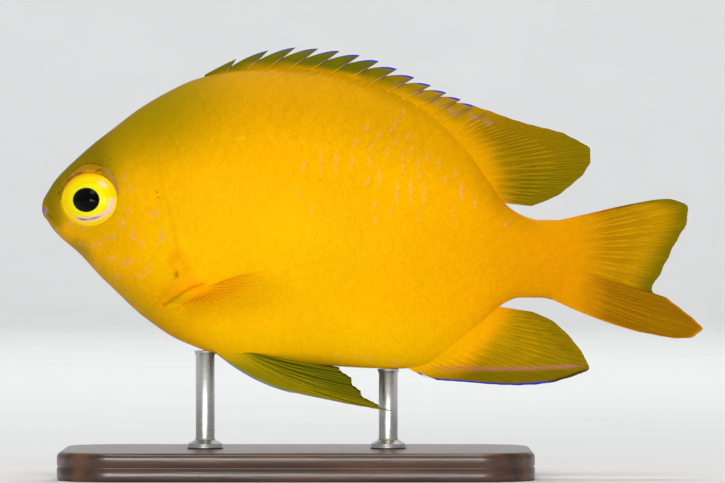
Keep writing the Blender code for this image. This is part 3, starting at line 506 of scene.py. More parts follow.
def brow_colour(colour, x, z):
    """The fold of skin over the eye with its fine lines, and painted shade in the socket, darker under the
    brow.
    """
    r = eye_radius(x, z)
    brow = brow_radius(x, z)
    turn = eye_turn(x, z)
    fold = step(r, brow + 0.015, brow - 0.02) * within(turn, 20.0, 50.0, 140.0, 165.0)
    uneven = 0.6 + 0.4 * np.sin(0.45 * turn) * np.sin(0.21 * turn + 1.0)
    front = within(turn, 86.0, 100.0, 140.0, 158.0)
    rear = within(turn, 4.0, 16.0, 62.0, 72.0)
    layers = [
        (shade(184, 142, 8), 0.7 * fold),
        (shade(206, 128, 92), 0.75 * (1.3 - uneven) * front * hump(r, 1.12, 0.045)),
        (shade(128, 56, 24), 0.95 * uneven * front * hump(r, 1.065, 0.055)),
        (shade(250, 160, 20), 0.75 * within(turn, 62.0, 76.0, 92.0, 112.0) * hump(r, 1.06, 0.05)),
        (shade(146, 70, 10), 0.9 * within(turn, 64.0, 74.0, 110.0, 124.0) * hump(r, brow, 0.034)),
        (shade(178, 128, 104), 0.75 * rear * hump(r, brow - 0.02, 0.035)),
        (shade(112, 76, 84), 0.5 * rear * uneven * hump(r, brow - 0.01, 0.014)),
    ]
    for px, pz, length, lean in BROW_STROKES:
        angle = math.radians(lean)
        along, across = turned(x, z, (px, pz), (math.cos(angle), math.sin(angle)))
        layers.append((shade(78, 44, 2), 0.95 * np.exp(-(2 * along / length) ** 4 - (across / 0.065) ** 2)))
    # Painted shade on the socket's wall: darker on its upper side, under the brow
    socket = mix(shade(222, 140, 6), shade(246, 190, 8), step(turn, 60.0, 20.0))
    layers.append((shade(250, 206, 16), 0.4 * hump(r, 1.05, 0.03) * step(turn, 10.0, -10.0)))
    layers.append((socket, step(r, 1.02, 0.99)))
    return layered(colour, layers)


# Materials


class Look:
    """A material round a Principled shader, whose plain numbers are set on the shader itself."""

    def __init__(self, name, roughness, coat=0.0, coat_roughness=0.2, metallic=0.0, specular=0.5,
                 sheen=(1.0, 1.0, 1.0)):
        self.made = bpy.data.materials.new(name)
        self.made.use_nodes = True
        self.inputs = self.made.node_tree.nodes["Principled BSDF"].inputs
        self.inputs["Roughness"].default_value = roughness
        self.inputs["Metallic"].default_value = metallic
        self.inputs["Coat Weight"].default_value = coat
        self.inputs["Coat Roughness"].default_value = coat_roughness
        self.inputs["Specular IOR Level"].default_value = specular
        self.inputs["Specular Tint"].default_value = (*sheen, 1.0)

    def add(self, kind, inputs, **settings):
        """A node with its settings, and a number or another node's output at each input."""
        node = self.made.node_tree.nodes.new("ShaderNode" + kind)
        for key, value in settings.items():
            setattr(node, key, value)
        for key, value in inputs.items():
            if isinstance(value, bpy.types.NodeSocket):
                self.made.node_tree.links.new(value, node.inputs[key])
            else:
                node.inputs[key].default_value = value
        return node

    def drive(self, key, output):
        """Links a node's output to an input of the shader."""
        self.made.node_tree.links.new(output, self.inputs[key])

    def noise(self, size, detail=3.0, stretch=(1, 1, 1)):
        """Noise whose lumps are about size millimetres across, longer along an axis by its stretch."""
        place = self.add("TexCoord", {}).outputs["Object"]
        scale = [1000 / (size * s) for s in stretch]
        place = self.add("Mapping", {"Scale": scale, "Vector": place}).outputs["Vector"]
        return self.add("TexNoise", {"Scale": 1.0, "Detail": detail, "Vector": place}).outputs["Fac"]

    def ranged(self, value, low, high):
        """A value from 0 to 1 spread over low to high."""
        return self.add("MapRange", {"To Min": low, "To Max": high, "Value": value}).outputs["Result"]

    def ramp(self, value, *stops):
        """A colour picked by a value from (place, colour) stops."""
        node = self.add("ValToRGB", {"Fac": value})
        elements = node.color_ramp.elements
        for element, (place, tone) in zip(elements, (stops[0], stops[-1])):
            element.position = place
            element.color = (*tone, 1)
        for place, tone in stops[1:-1]:
            elements.new(place).color = (*tone, 1)
        return node.outputs["Color"]

    def scaled(self, tone, scale):
        """Gives the shader a tone times a scale."""
        node = self.add("VectorMath", {0: tone, "Scale": scale}, operation="SCALE")
        self.drive("Base Color", node.outputs["Vector"])

    def bump(self, height, depth, under=None):
        """A bump of depth millimetres, over another bump if one is given."""
        inputs = {"Strength": 1.0, "Distance": depth / 1000, "Height": height}
        if under is not None:
            inputs["Normal"] = under
        normal = self.add("Bump", inputs).outputs["Normal"]
        self.drive("Normal", normal)
        return normal


def painted(name, roughness, coat, grain, depth, rough_spread=0.1, veil=False, specular=0.045,
            sheen=(1.0, 0.72, 0.15), ridged=False, speckled=0.07):
    """A material that takes its colour from the mesh's tint, broken up by a fine grain."""
    look = Look(name, roughness, coat, specular=specular, sheen=sheen)
    tint = look.add("Attribute", {}, attribute_name="tint")
    scale = look.ranged(look.noise(grain), PAINT_LEVEL * (1 - speckled), PAINT_LEVEL * (1 + speckled))
    coarse = look.noise(grain * 2.3)
    look.drive("Roughness", look.ranged(coarse, roughness - rough_spread, roughness + rough_spread))
    under = look.bump(look.noise(grain * 0.6), depth)
    if ridged:
        comb = look.add("Attribute", {}, attribute_name="comb").outputs["Fac"]
        wave = look.add("Math", {0: comb}, operation="SINE").outputs[0]
        look.bump(wave, COMB_DEPTH, under)
        scale = look.add("Math", {0: wave, 1: COMB_TONE, 2: scale}, operation="MULTIPLY_ADD").outputs[0]
    look.scaled(tint.outputs["Color"], scale)
    if veil:
        look.drive("Alpha", tint.outputs["Alpha"])
    return look.made


def wood_material():
    """Dark, oiled hardwood with grain along the base and fine pores."""
    look = Look("walnut", 0.34, coat=0.35, coat_roughness=0.22)
    grain = look.noise(1.5, detail=6.0, stretch=(14, 1, 1.6))
    pores = look.noise(0.3, stretch=(12, 1, 1))
    tone = look.ramp(grain, (0.34, shade(46, 27, 17)), (0.5, shade(71, 43, 27)), (0.66, shade(100, 62, 38)))
    look.scaled(tone, look.ranged(pores, 0.72, 1.12))
    look.drive("Roughness", look.ranged(grain, 0.28, 0.44))
    look.bump(pores, 0.03)
    return look.made


def steel_material():
    """Steel brushed round the rods."""
    look = Look("steel", 0.3, metallic=1.0)
    brushed = look.noise(0.1, stretch=(12, 12, 1))
    look.drive("Roughness", look.ranged(brushed, 0.2, 0.42))
    look.drive("Base Color", look.ramp(brushed, (0.0, shade(176, 176, 172)), (1.0, shade(214, 214, 210))))
    look.bump(brushed, 0.008)
    return look.made


PAINT_LEVEL = 0.8
COMB_DEPTH = 0.005
COMB_TONE = 0.028
CLEAR = (1.0, 1.0, 1.0)
SKIN = painted("skin", 0.42, 0.0, 0.35, 0.012, speckled=0.16)
SCALES = painted("scales", 0.4, 0.0, 0.3, 0.006, ridged=True, speckled=0.16)
FIN = painted("fin", 0.45, 0.0, 0.25, 0.01, speckled=0.16)
VEIL = painted("fin_veil", 0.45, 0.0, 0.25, 0.01, veil=True)
IRIS = painted("iris", 0.3, 0.12, 0.2, 0.004)
PUPIL = painted("pupil", 0.14, 0.0, 0.3, 0.0005, rough_spread=0.03, specular=0.08, sheen=CLEAR)
WALNUT = wood_material()
STEEL = steel_material()


# Meshes


def placed(points):
    """Points in the fish's millimetres as the frame's metres."""
    points = np.asarray(points, float).reshape(-1, 3)
    return (points + (-BASE_BEHIND_SNOUT, 0.0, SNOUT_HEIGHT)) / 1000


def grid_quads(rows, columns, closed=False):
    """Quads of a grid of points, and each corner's row and column."""
    r, c = np.meshgrid(np.arange(rows - 1), np.arange(columns if closed else columns - 1), indexing="ij")
    r, c = r.ravel(), c.ravel()
    corner_r = np.stack([r, r, r + 1, r + 1], axis=1)
    corner_c = np.stack([c, c + 1, c + 1, c], axis=1)
    return corner_r * columns + corner_c % columns, corner_r, corner_c


def add_object(name, data):
    obj = bpy.data.objects.new(name, data)
    bpy.context.scene.collection.objects.link(obj)
    return obj


def piece(name, points, faces, look, colours=None, corner_uv=None, comb=None):
    """A mesh object of like faces in the fish's millimetres, riding on the model's one body."""
    mesh = bpy.data.meshes.new(name)
    points = placed(points)
    faces = np.asarray(faces, np.int32)
    mesh.vertices.add(len(points))
    mesh.vertices.foreach_set("co", points.astype(np.float32).ravel())
    mesh.loops.add(faces.size)
    mesh.loops.foreach_set("vertex_index", faces.ravel())
    mesh.polygons.add(len(faces))
    mesh.polygons.foreach_set("loop_start", np.arange(len(faces), dtype=np.int32) * faces.shape[1])
    mesh.update(calc_edges=True)
    mesh.shade_smooth()
    if colours is not None:
        colours = np.asarray(colours, float).reshape(len(points), -1)
        if colours.shape[1] == 3:
            colours = np.concatenate([colours, np.ones((len(points), 1))], axis=1)
        tint = mesh.color_attributes.new("tint", "FLOAT_COLOR", "POINT")
        tint.data.foreach_set("color", np.clip(colours, 0, 1 / PAINT_LEVEL).astype(np.float32).ravel())
    if comb is not None:
        strands = mesh.attributes.new("comb", "FLOAT", "POINT")
        strands.data.foreach_set("value", np.asarray(comb, np.float32).ravel())
    if corner_uv is not None:
        uv = mesh.uv_layers.new(name="OFBake")
        uv.data.foreach_set("uv", np.asarray(corner_uv, np.float32).ravel())
    mesh.materials.append(look)
    obj = add_object(name, mesh)
    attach(obj, "root")
    return obj


# Skin

SKIN_STATIONS = 440
SKIN_AROUND = 420
STATION_CROWDING = 1.4
BAKE_EDGE = 0.02
BAKE_PATCH = 0.003


def unwrapped(x, angle):
    """Where a place on the skin lies on its unwrap, cut open along the belly."""
    along = (np.clip(x, 0, BODY_LENGTH) / BODY_LENGTH) ** 0.8
    around = (angle + 0.5 * math.pi) / (2 * math.pi)
    return BAKE_EDGE + (1 - 2 * BAKE_EDGE) * np.stack(np.broadcast_arrays(along, around), axis=-1)


def make_skin():
    """One skin over head, gill covers, trunk and tail root, and the two small fans that close it."""
    x = BODY_LENGTH * (np.arange(SKIN_STATIONS) / (SKIN_STATIONS - 1)) ** STATION_CROWDING
    angle = 2 * math.pi * np.arange(SKIN_AROUND) / SKIN_AROUND - 0.5 * math.pi
    x, angle = np.meshgrid(x, angle, indexing="ij")
    base = flesh(x, angle)
    height = relief(base[..., 0], base[..., 2]) * step(x, 0.0, 0.3) - COAT_DEPTH
    points = (base + height[..., None] * flesh_normal(x, angle)).reshape(-1, 3)
    colours = body_colour(base[..., 0], base[..., 1], base[..., 2]).reshape(-1, 3)
    faces, corner_r, corner_c = grid_quads(SKIN_STATIONS, SKIN_AROUND, closed=True)
    corner_angle = 2 * math.pi * corner_c / SKIN_AROUND - 0.5 * math.pi
    uv = unwrapped(x[corner_r, 0], corner_angle)
    snout = points[:SKIN_AROUND].mean(axis=0) + (-0.03, 0, 0)
    tail = points[-SKIN_AROUND:].mean(axis=0)
    count = len(points)
    points = np.concatenate([points, [snout, tail]])
    colours = np.concatenate([colours, colours[:1], colours[-1:]])
    ring = np.arange(SKIN_AROUND)
    after = np.roll(ring, -1)
    last = count - SKIN_AROUND
    ends = np.concatenate([
        np.stack([np.full_like(ring, count), after, ring], axis=1),
        np.stack([np.full_like(ring, count + 1), last + ring, last + after], axis=1),
    ])
    skin = piece("skin", points, faces, SKIN, colours, uv)
    piece("skin_ends", points, ends, SKIN, colours)
    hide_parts("head", "gill_cover_left", "gill_cover_right", "torso", "tail_base")


# Scales

ARC_STATIONS, ARC_ANGLES = 300, 721
# Where the rows start, where the head's scales end, and how many lines run above the middle one
FIRST_SCALE_X = 4.6
HEAD_SCALES_END = 13.2
SCALE_LINES = 16
# One scale's grid, and its growth rings
SCALE_ROWS, SCALE_COLUMNS = 11, 15
SCALE_RINGS = 13
SCALE_SEED = 31


class ArcTable:
    """Turns a distance round the body from its widest level into the angle of flesh()."""

    def __init__(self):
        self.x = np.linspace(0.3, BODY_LENGTH, ARC_STATIONS)
        self.angle = np.linspace(-math.pi, math.pi, ARC_ANGLES)
        points = flesh(self.x[:, None], self.angle[None, :])
        lengths = np.linalg.norm(np.diff(points, axis=1), axis=2)
        arc = np.concatenate([np.zeros((ARC_STATIONS, 1)), np.cumsum(lengths, axis=1)], axis=1)
        self.arc = arc - arc[:, ARC_ANGLES // 2][:, None]

    def row(self, x):
        return int(np.clip(np.searchsorted(self.x, x), 0, ARC_STATIONS - 1))

    def angles(self, x, distance):
        return np.interp(distance, self.arc[self.row(x)], self.angle)

    def half_round(self, x, up):
        """The distance from the widest level to the back, or to the belly."""
        place = ARC_ANGLES // 4 * (3 if up else 1)
        return abs(self.arc[self.row(x)][place])


ARCS = ArcTable()
row_height = curve_through([
    (0.0, 0.8), (6.0, 0.95), (11.5, 1.3), (14.5, 1.75), (19.0, 2.1), (34.0, 2.2), (44.0, 1.7),
    (50.0, 1.25), (BODY_LENGTH, 0.95),
])


def scaled_here(x, z):
    """Whether a scale grows at this place: not on the snout, lips, chin, eye or along the plates' edges."""
    bare = (
        x < 5.2 or eye_radius(x, z) < 1.42 or lobe_place(x, z) < 1.12
        or (x < 8.6 and -4.6 < z < 3.8 - 0.25 * (x - 5.2))
        or (x < 7.2 and z < -4.6)
        or (x < 6.4 and z > 3.4)
        or (-8.0 < z < 4.2 and 0.0 < x - cover_x(z) < 0.55)
        or (-11.2 < z < 6.0 and -0.35 < x - gill_x(z) < 0.5)
    )
    return not bare


def scale_places():
    """Rows along the body, each second one set half a scale back: (x, distance round, row height)."""
    steps = [FIRST_SCALE_X]
    while steps[-1] < BODY_LENGTH - 1.2:
        steps.append(steps[-1] + SCALE_LENGTH_SHARE * float(row_height(steps[-1])))
    places = []
    for line in range(-SCALE_LINES, SCALE_LINES + 1):
        shift = 0.5 * (line % 2)
        for k in range(len(steps) - 1):
            x = float(np.interp(k + shift, np.arange(len(steps)), steps))
            height = float(row_height(x))
            distance = line * height
            if abs(distance) > ARCS.half_round(x, line > 0) - 0.1 * height:
                continue
            z = float(flesh(np.array(x), np.array(float(ARCS.angles(x, distance))))[2])
            if scaled_here(x, z):
                places.append((x, distance, height))
    return places


def scale_shape():
    """One scale's grid: place along it and across it, its shares u and v, and where its skirt is."""
    rows = np.concatenate([[0], np.arange(SCALE_ROWS), [SCALE_ROWS - 1]]) / (SCALE_ROWS - 1)
    columns = np.concatenate([[0], np.arange(SCALE_COLUMNS), [SCALE_COLUMNS - 1]]) / (SCALE_COLUMNS - 1)
    u, v = np.meshgrid(rows, 2 * columns - 1, indexing="ij")
    skirt = np.zeros_like(u, bool)
    skirt[[0, -1], :] = True
    skirt[:, [0, -1]] = True
    rear = 0.98 - 0.55 * np.abs(v) ** 2.4
    along = -0.62 + u * (rear + 0.62)
    across = 0.62 * v * (1 - 0.06 * u ** 2)
    return along, across, u, v, skirt


def make_scales(name, places, side):
    """Thin overlapping plates on one side of the body, each lifting towards its rear edge."""
    along, across, u, v, skirt = scale_shape()
    draw = np.random.default_rng(SCALE_SEED)
    points, colours, roots = [], [], []
    for x, distance, height in places:
        lift = SCALE_RISE * draw.uniform(0.8, 1.15) * (0.45 + 0.25 * height)
        px = x + along * height * SCALE_LENGTH_SHARE
        angle = ARCS.angles(x, distance + across * height)
        root_angle = ARCS.angles(x, distance)
        if side < 0:
            angle, root_angle = math.pi - angle, math.pi - root_angle
        base = flesh(px, angle)
        rise = np.where(skirt, -0.09, -0.02 + lift * u) + relief(base[..., 0], base[..., 2]) - COAT_DEPTH
        points.append(base + rise[..., None] * flesh_normal(px, angle))
        # Painted highlight just before each scale's rear edge and painted shade on the edge itself, shown
        # more on the upper body
        shown = 0.4 + 0.6 * step(base[..., 2], -6.0, 8.0)
        edge = 0.03 * hump(u, 0.72, 0.14) - 0.07 * step(u, 0.84, 1.0)
        tone = 1 + shown * (0.03 * draw.uniform(-1, 1) + edge)
        colours.append(body_colour(base[..., 0], base[..., 1], base[..., 2]) * tone[..., None])
        roots.append(unwrapped(np.array(x), root_angle))
    rows, columns = u.shape
    faces, corner_r, corner_c = grid_quads(rows, columns)
    if side < 0:
        faces, corner_r, corner_c = faces[:, ::-1], corner_r[:, ::-1], corner_c[:, ::-1]
    starts = np.arange(len(places))[:, None, None] * rows * columns
    patch = np.stack([corner_r / rows - 0.5, corner_c / columns - 0.5], axis=-1) * BAKE_PATCH
    uv = np.array(roots)[:, None, None, :] + patch[None]
    rings = math.pi * (SCALE_RINGS * u - 1.6 * v * v)
    comb = np.broadcast_to(rings, (len(places),) + v.shape)
    made = piece(name, np.array(points), (faces[None] + starts).reshape(-1, 4), SCALES,
                 np.array(colours), uv, comb)
    made.data.set_sharp_from_angle(angle=math.radians(40))


# Eyes

EYE_RINGS, EYE_TURNS, LENS_RINGS = 140, 240, 40


def eye_surface(x, z):
    """How far the eyeball's face reaches from the middle plane: a dome whose edge meets the flesh."""
    reach = 0.05
    y = side_y(EYE_X, EYE_Z)
    slope_x = (side_y(EYE_X + reach, EYE_Z) - side_y(EYE_X - reach, EYE_Z)) / (2 * reach)
    slope_z = (side_y(EYE_X, EYE_Z + reach) - side_y(EYE_X, EYE_Z - reach)) / (2 * reach)

    def plane(px, pz):
        return y + slope_x * (px - EYE_X) + slope_z * (pz - EYE_Z)

    r = np.maximum(eye_radius(x, z), 1e-6)
    edge_x, edge_z = EYE_X + (x - EYE_X) / r, EYE_Z + (z - EYE_Z) / r
    edge = side_y(edge_x, edge_z) - plane(edge_x, edge_z)
    dome = EYE_DOME * (1 - r * r) - 6.0 * np.maximum(r - 1, 0.0)
    return plane(x, z) + edge * np.minimum(r, 1.0) ** 3 + dome


def iris_colour(x, z):
    """The iris: gold with fine rings, a bright ring round the pupil, a pink arc below it, a painted
    highlight at its upper rear and painted shade along its upper edge.
    """
    long, tall = (x - EYE_X) / EYE_LONG, (z - EYE_Z) / EYE_TALL
    outer = np.hypot(long, tall)
    inner = np.hypot((x - EYE_X - PUPIL_SHIFT[0]) / PUPIL_LONG, (z - EYE_Z - PUPIL_SHIFT[1]) / PUPIL_TALL)
    turn = np.arctan2(tall, long)
    rings = np.sin(outer * 55 + 0.6 * np.sin(3 * turn)) * step(outer, 0.5, 0.62)
    streaks = np.sin(23 * turn + 3 * np.sin(5 * turn)) + 0.6 * np.sin(41 * turn + 2 * np.sin(9 * turn))
    grain = 1.08 * (1 + 0.02 * rings) * (1 + 0.015 * streaks * step(outer, 0.4, 0.7))
    gold = mix(shade(255, 240, 4), shade(255, 214, 0), step(outer, 0.55, 0.92)) * grain[..., None]
    # Where the painted highlight lies, at the iris's upper rear
    along, across = turned(x, z, (6.6, 2.45), (0.86, -0.5))
    sweep = within(turn, -2.35, -1.9, -0.02, 0.12)
    middle = 0.84 - 0.12 * hump(turn, -1.3, 0.7) - 0.04 * step(turn, -0.5, 0.1)
    violet = step(turn, -0.7, -1.5)
    core = sweep * violet * hump(outer, middle + 0.005, 0.022) * step(np.sin(9 * turn), -0.8, 0.1)
    return layered(gold, [
        (shade(236, 186, 6), 0.3 * hump(outer, 0.66, 0.03)),
        (shade(255, 248, 24), 0.9 * step(inner, 1.34, 1.18)),
        # Painted highlight: a pale patch at the iris's upper rear
        (shade(255, 236, 200), 0.8 * np.exp(-(along / 0.48) ** 4 - (across / 0.24) ** 2)),
        (shade(255, 226, 190), 0.9 * sweep * hump(outer, middle, 0.085)),
        (mix(shade(255, 196, 214), shade(214, 128, 190), violet), 0.9 * sweep * hump(outer, middle, 0.05)),
        (shade(96, 30, 130), 0.85 * core),
        # Painted shade: the iris's upper edge darker orange, under the brow
        (shade(250, 172, 6), 0.7 * within(turn, 0.9, 1.5, 2.5, 2.9) * step(outer, 0.86, 0.98)),
        (shade(12, 9, 10), step(inner, 1.05, 0.99)),
    ])


def eye_piece(name, side, x, z, y, look, colours):
    """A dome of the eye from rings of points, facing out on its side of the head."""
    points = np.stack([x, side * y, z], axis=-1)
    faces = grid_quads(x.shape[0], x.shape[1], closed=True)[0]
    if side < 0:
        faces = faces[:, ::-1]
    return piece(name, points, faces, look, colours)


def make_eye(name, side):
    """An eyeball with its painted iris, and the lens that bulges at the pupil."""
    turn = np.linspace(0, 2 * math.pi, EYE_TURNS, endpoint=False)
    ring = 1.06 * np.linspace(0.001, 1, EYE_RINGS)[:, None]
    x = EYE_X + EYE_LONG * ring * np.cos(turn)
    z = EYE_Z + EYE_TALL * ring * np.sin(turn)
    ball = eye_piece(name, side, x, z, eye_surface(x, z), IRIS, iris_colour(x, z))
    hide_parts("eye_left" if side < 0 else "eye_right")
    ring = np.sin(np.linspace(0.001, 0.5 * math.pi, LENS_RINGS))[:, None]
    x = EYE_X + PUPIL_SHIFT[0] + PUPIL_LONG * ring * np.cos(turn)
    z = EYE_Z + PUPIL_SHIFT[1] + PUPIL_TALL * ring * np.sin(turn)
    y = eye_surface(x, z) - 0.03 + LENS_DOME * (1 - ring ** 2)
    colours = np.broadcast_to(shade(6, 6, 8), (*x.shape, 3))
    eye_piece(name + "_lens", side, x, z, y, PUPIL, colours)


# Fins

# How finely a ray is sampled, and into how many tips it branches at the edge
RAY_STEPS = 200
FRINGE_BRANCHES = 4


def ray_points(rays, u):
    """Points at shares u along each ray, a gentle curve from its root by its bend to its tip."""
    roots, bends, tips = (np.array([ray[k] for ray in rays])[:, None, :] for k in range(3))
    u = u[None, :, None]
    return (1 - u) ** 2 * roots + 2 * u * (1 - u) * bends + u * u * tips


def shares(count):
    return [k / (count - 1) for k in range(count)]


def flat_ray(root, tip, bow=(0, 0)):
    """A ray in the middle plane from root to tip, both (x, z), bent aside by its bow."""
    root, tip, bow = (np.array((p[0], 0, p[1]), float) for p in (root, tip, bow))
    return root, 0.5 * (root + tip) + bow, tip


def walked(line):
    """How far along a line of (x, z) points each of them lies."""
    return np.cumsum([0] + [math.dist(a, b) for a, b in zip(line, line[1:])])


def smooth_line(points):
    """A line of three times as many points, on smooth curves through the given ones."""
    lengths = walked(points)
    places = np.linspace(0, lengths[-1], 3 * (len(points) - 1) + 1)
    x_at = curve_through(list(zip(lengths, [p[0] for p in points])))
    z_at = curve_through(list(zip(lengths, [p[1] for p in points])))
    return list(zip(x_at(places), z_at(places)))


def point_on(line, share):
    lengths = walked(line)
    return [float(np.interp(share * lengths[-1], lengths, [p[k] for p in line])) for k in (0, 1)]


def leaning_ray(tip, lean):
    """A spine of the back from its tip down its slope, in degrees, to just inside the flesh."""
    x, z = tip
    slope = math.tan(math.radians(lean))
    while z > back_line(x) - SINK:
        x -= 0.05
        z -= 0.05 * slope
    return flat_ray((x, z), tip, (-0.1, 0.12))


def dorsal_rays():
    """A low front fold, thirteen spines that lean back, then the soft rays of the rear lobe."""
    tip_height = curve_through([
        (20.6, 15.79), (24.0, 16.7), (26.9, 17.01), (31.4, 16.64), (35.6, 15.58), (39.5, 13.8),
        (42.9, 12.19), (45.9, 10.8),
    ])
    tip_place = curve_through([
        (0, 20.6), (1, 24.0), (2, 26.9), (3, 29.3), (5, 33.7), (8, 39.5), (10, 42.9), (12, 45.9),
    ])
    lean = curve_through([(0, 54), (1, 44), (2, 38), (5, 33), (8, 28), (12, 26)])
    rays = [flat_ray((16.6, 12.7), (17.3, 14.15))]
    for k in range(SPINES):
        tip_x = float(tip_place(k))
        rays.append(leaning_ray((tip_x, float(tip_height(tip_x))), float(lean(k))))
    lobe = smooth_line([
        (47.6, 10.25), (49.7, 9.48), (52.0, 8.8), (55.3, 7.95), (56.9, 7.1), (58.3, 5.94),
        (58.0, 4.35), (56.4, 2.7), (55.0, 1.5), (53.3, 0.7), (51.9, 0.2),
    ])
    for share in shares(DORSAL_RAYS):
        root_x = 43.2 + 5.0 * share
        root = (root_x, float(back_line(root_x)) - SINK - 0.15 * share)
        rays.append(flat_ray(root, point_on(lobe, share), (0, 0.2 * (1 - share))))
    return rays


def anal_rays():
    """Two spines and the soft rays below the tail root."""
    margin = smooth_line([
        (41.2, -18.2), (45.4, -18.5), (48.5, -18.75), (50.7, -18.8), (53.6, -18.6),
        (55.4, -18.15), (57.0, -17.6), (58.1, -17.1), (57.5, -15.69), (56.2, -13.89),
        (54.7, -12.4), (53.3, -11.45), (52.0, -11.0),
    ])
    rays = []
    for share in shares(ANAL_RAYS):
        root_x = 37.2 + 10.4 * share
        root = (root_x, float(belly_line(root_x)) + SINK)
        rays.append(flat_ray(root, point_on(margin, share ** 1.35), (0, -0.25 * (1 - share))))
    return rays


def caudal_rays():
    """The rays of the forked tail fin, from the upper lobe down to the lower."""
    upper = smooth_line([
        (62.8, 0.4), (64.8, 0.85), (66.9, 0.95), (68.1, 0.64), (68.55, 0.0), (68.5, -1.2),
        (67.4, -3.39), (66.2, -5.83), (65.2, -7.84), (64.7, -8.8),
    ])
    lower = smooth_line([
        (64.7, -8.9), (66.0, -9.43), (67.2, -10.3), (68.7, -11.45), (69.6, -12.35), (70.1, -13.0),
        (69.2, -13.67), (67.4, -13.82), (64.0, -13.2),
    ])
    rays = []
    for share in shares(CAUDAL_RAYS):
        tip = point_on(upper, 2 * share) if share <= 0.5 else point_on(lower, 2 * share - 1)
        rays.append(flat_ray((54.0, -1.45 - 8.2 * share), tip, (0, -0.7 * share ** 3)))
    return rays


def caudal_lift(share, u):
    """The fold of the tail fin: the lower lobe lies nearer the fish's left, over the upper one."""
    over = 0.5 + 0.5 * np.tanh((share - 0.53) / 0.045)
    upper = 0.9 * np.sin(math.pi * np.minimum(share / 0.5, 1.0) * 0.5)
    lower = -1.3 + 1.1 * np.maximum(0.0, share - 0.55) / 0.45
    return (upper * (1 - over) + lower * over) * np.maximum(0.0, u - 0.12) ** 1.3 / 0.85


def pelvic_rays(side):
    """A spine and five rays folded back under the belly, the first drawn out to a thread."""
    shapes = [
        ((17.2, 1.2, -14.2), (21.9, 2.4, -18.6), (26.9, 2.8, -19.5)),
        ((18.3, 1.25, -14.1), (25.5, 2.7, -19.7), (37.0, 3.4, -21.4)),
        ((19.2, 1.35, -14.3), (25.8, 2.8, -18.9), (35.2, 3.5, -20.7)),
        ((19.9, 1.5, -14.5), (26.0, 2.9, -17.9), (33.8, 3.6, -19.5)),
        ((20.5, 1.65, -14.8), (25.9, 3.1, -16.95), (32.8, 3.7, -18.1)),
        ((21.0, 1.8, -15.0), (25.6, 3.3, -16.0), (31.5, 3.8, -16.95)),
    ]
    flip = np.array((1, side, 1))
    return [tuple(np.array(p) * flip for p in ray) for ray in shapes]


def pectoral_rays(side):
    """A fan of rays that stands out from the side, its upper rays longest."""
    reach = curve_through([(0, 8.6), (0.2, 10.4), (0.45, 9.6), (0.75, 7.2), (1, 4.6)])
    margin = smooth_line([
        (25.0, -6.3), (26.4, -6.75), (26.3, -8.0), (25.0, -9.1), (23.0, -9.9), (21.0, -10.45),
        (19.0, -10.85), (17.0, -11.1), (15.4, -11.3), (13.9, -11.25),
    ])
    rays = []
    for share in shares(PECTORAL_RAYS):
        root_x, root_z = 17.5 - 0.9 * share, -8.4 - 1.1 * share
        surface = float(side_y(root_x, root_z))
        tip_x, tip_z = point_on(margin, share)
        root = np.array((root_x, side * (surface - 0.6), root_z))
        tip = np.array((tip_x, side * (surface + float(reach(share))), tip_z))
        rays.append((root, 0.5 * (root + tip) + np.array((-0.5, side * 0.8, 0.3)), tip))
    return rays


def across_rays(grid, place):
    """Points between the rays, on smooth curves through like points of them."""
    count = len(grid)
    k = np.clip(place.astype(int), 0, count - 2)
    t = (place - k)[:, None, None]
    before, here = grid[np.maximum(k - 1, 0)], grid[k]
    after, beyond = grid[k + 1], grid[np.minimum(k + 2, count - 1)]
    slope_here, slope_after = 0.5 * (after - before), 0.5 * (beyond - here)
    return (here * (1 + 2 * t) * (1 - t) ** 2 + after * t * t * (3 - 2 * t)
            + slope_here * t * (1 - t) ** 2 - slope_after * t * t * (1 - t))


def spine_reach(place, first, last):
    """How far the web reaches between spines: low behind one, up to the tip of the next."""
    share = place - np.floor(place)
    low = 0.4 - 0.24 * step(place, 8.0, 13.0)
    web = np.maximum(1 - low * (1 - share) ** 2.2, 1 - 6.0 * share)
    return np.where((place > first) & (place < last), np.where(share > 0, web, 1.0), 1.0)


def fringe_reach(place, depth):
    """The slightly frayed edge between soft rays."""
    share = place - np.floor(place)
    fray = 0.35 * depth * (1 - np.cos(2 * math.pi * share * FRINGE_BRANCHES)) / 2
    return 1 - depth * np.sin(math.pi * share) ** 2 - fray


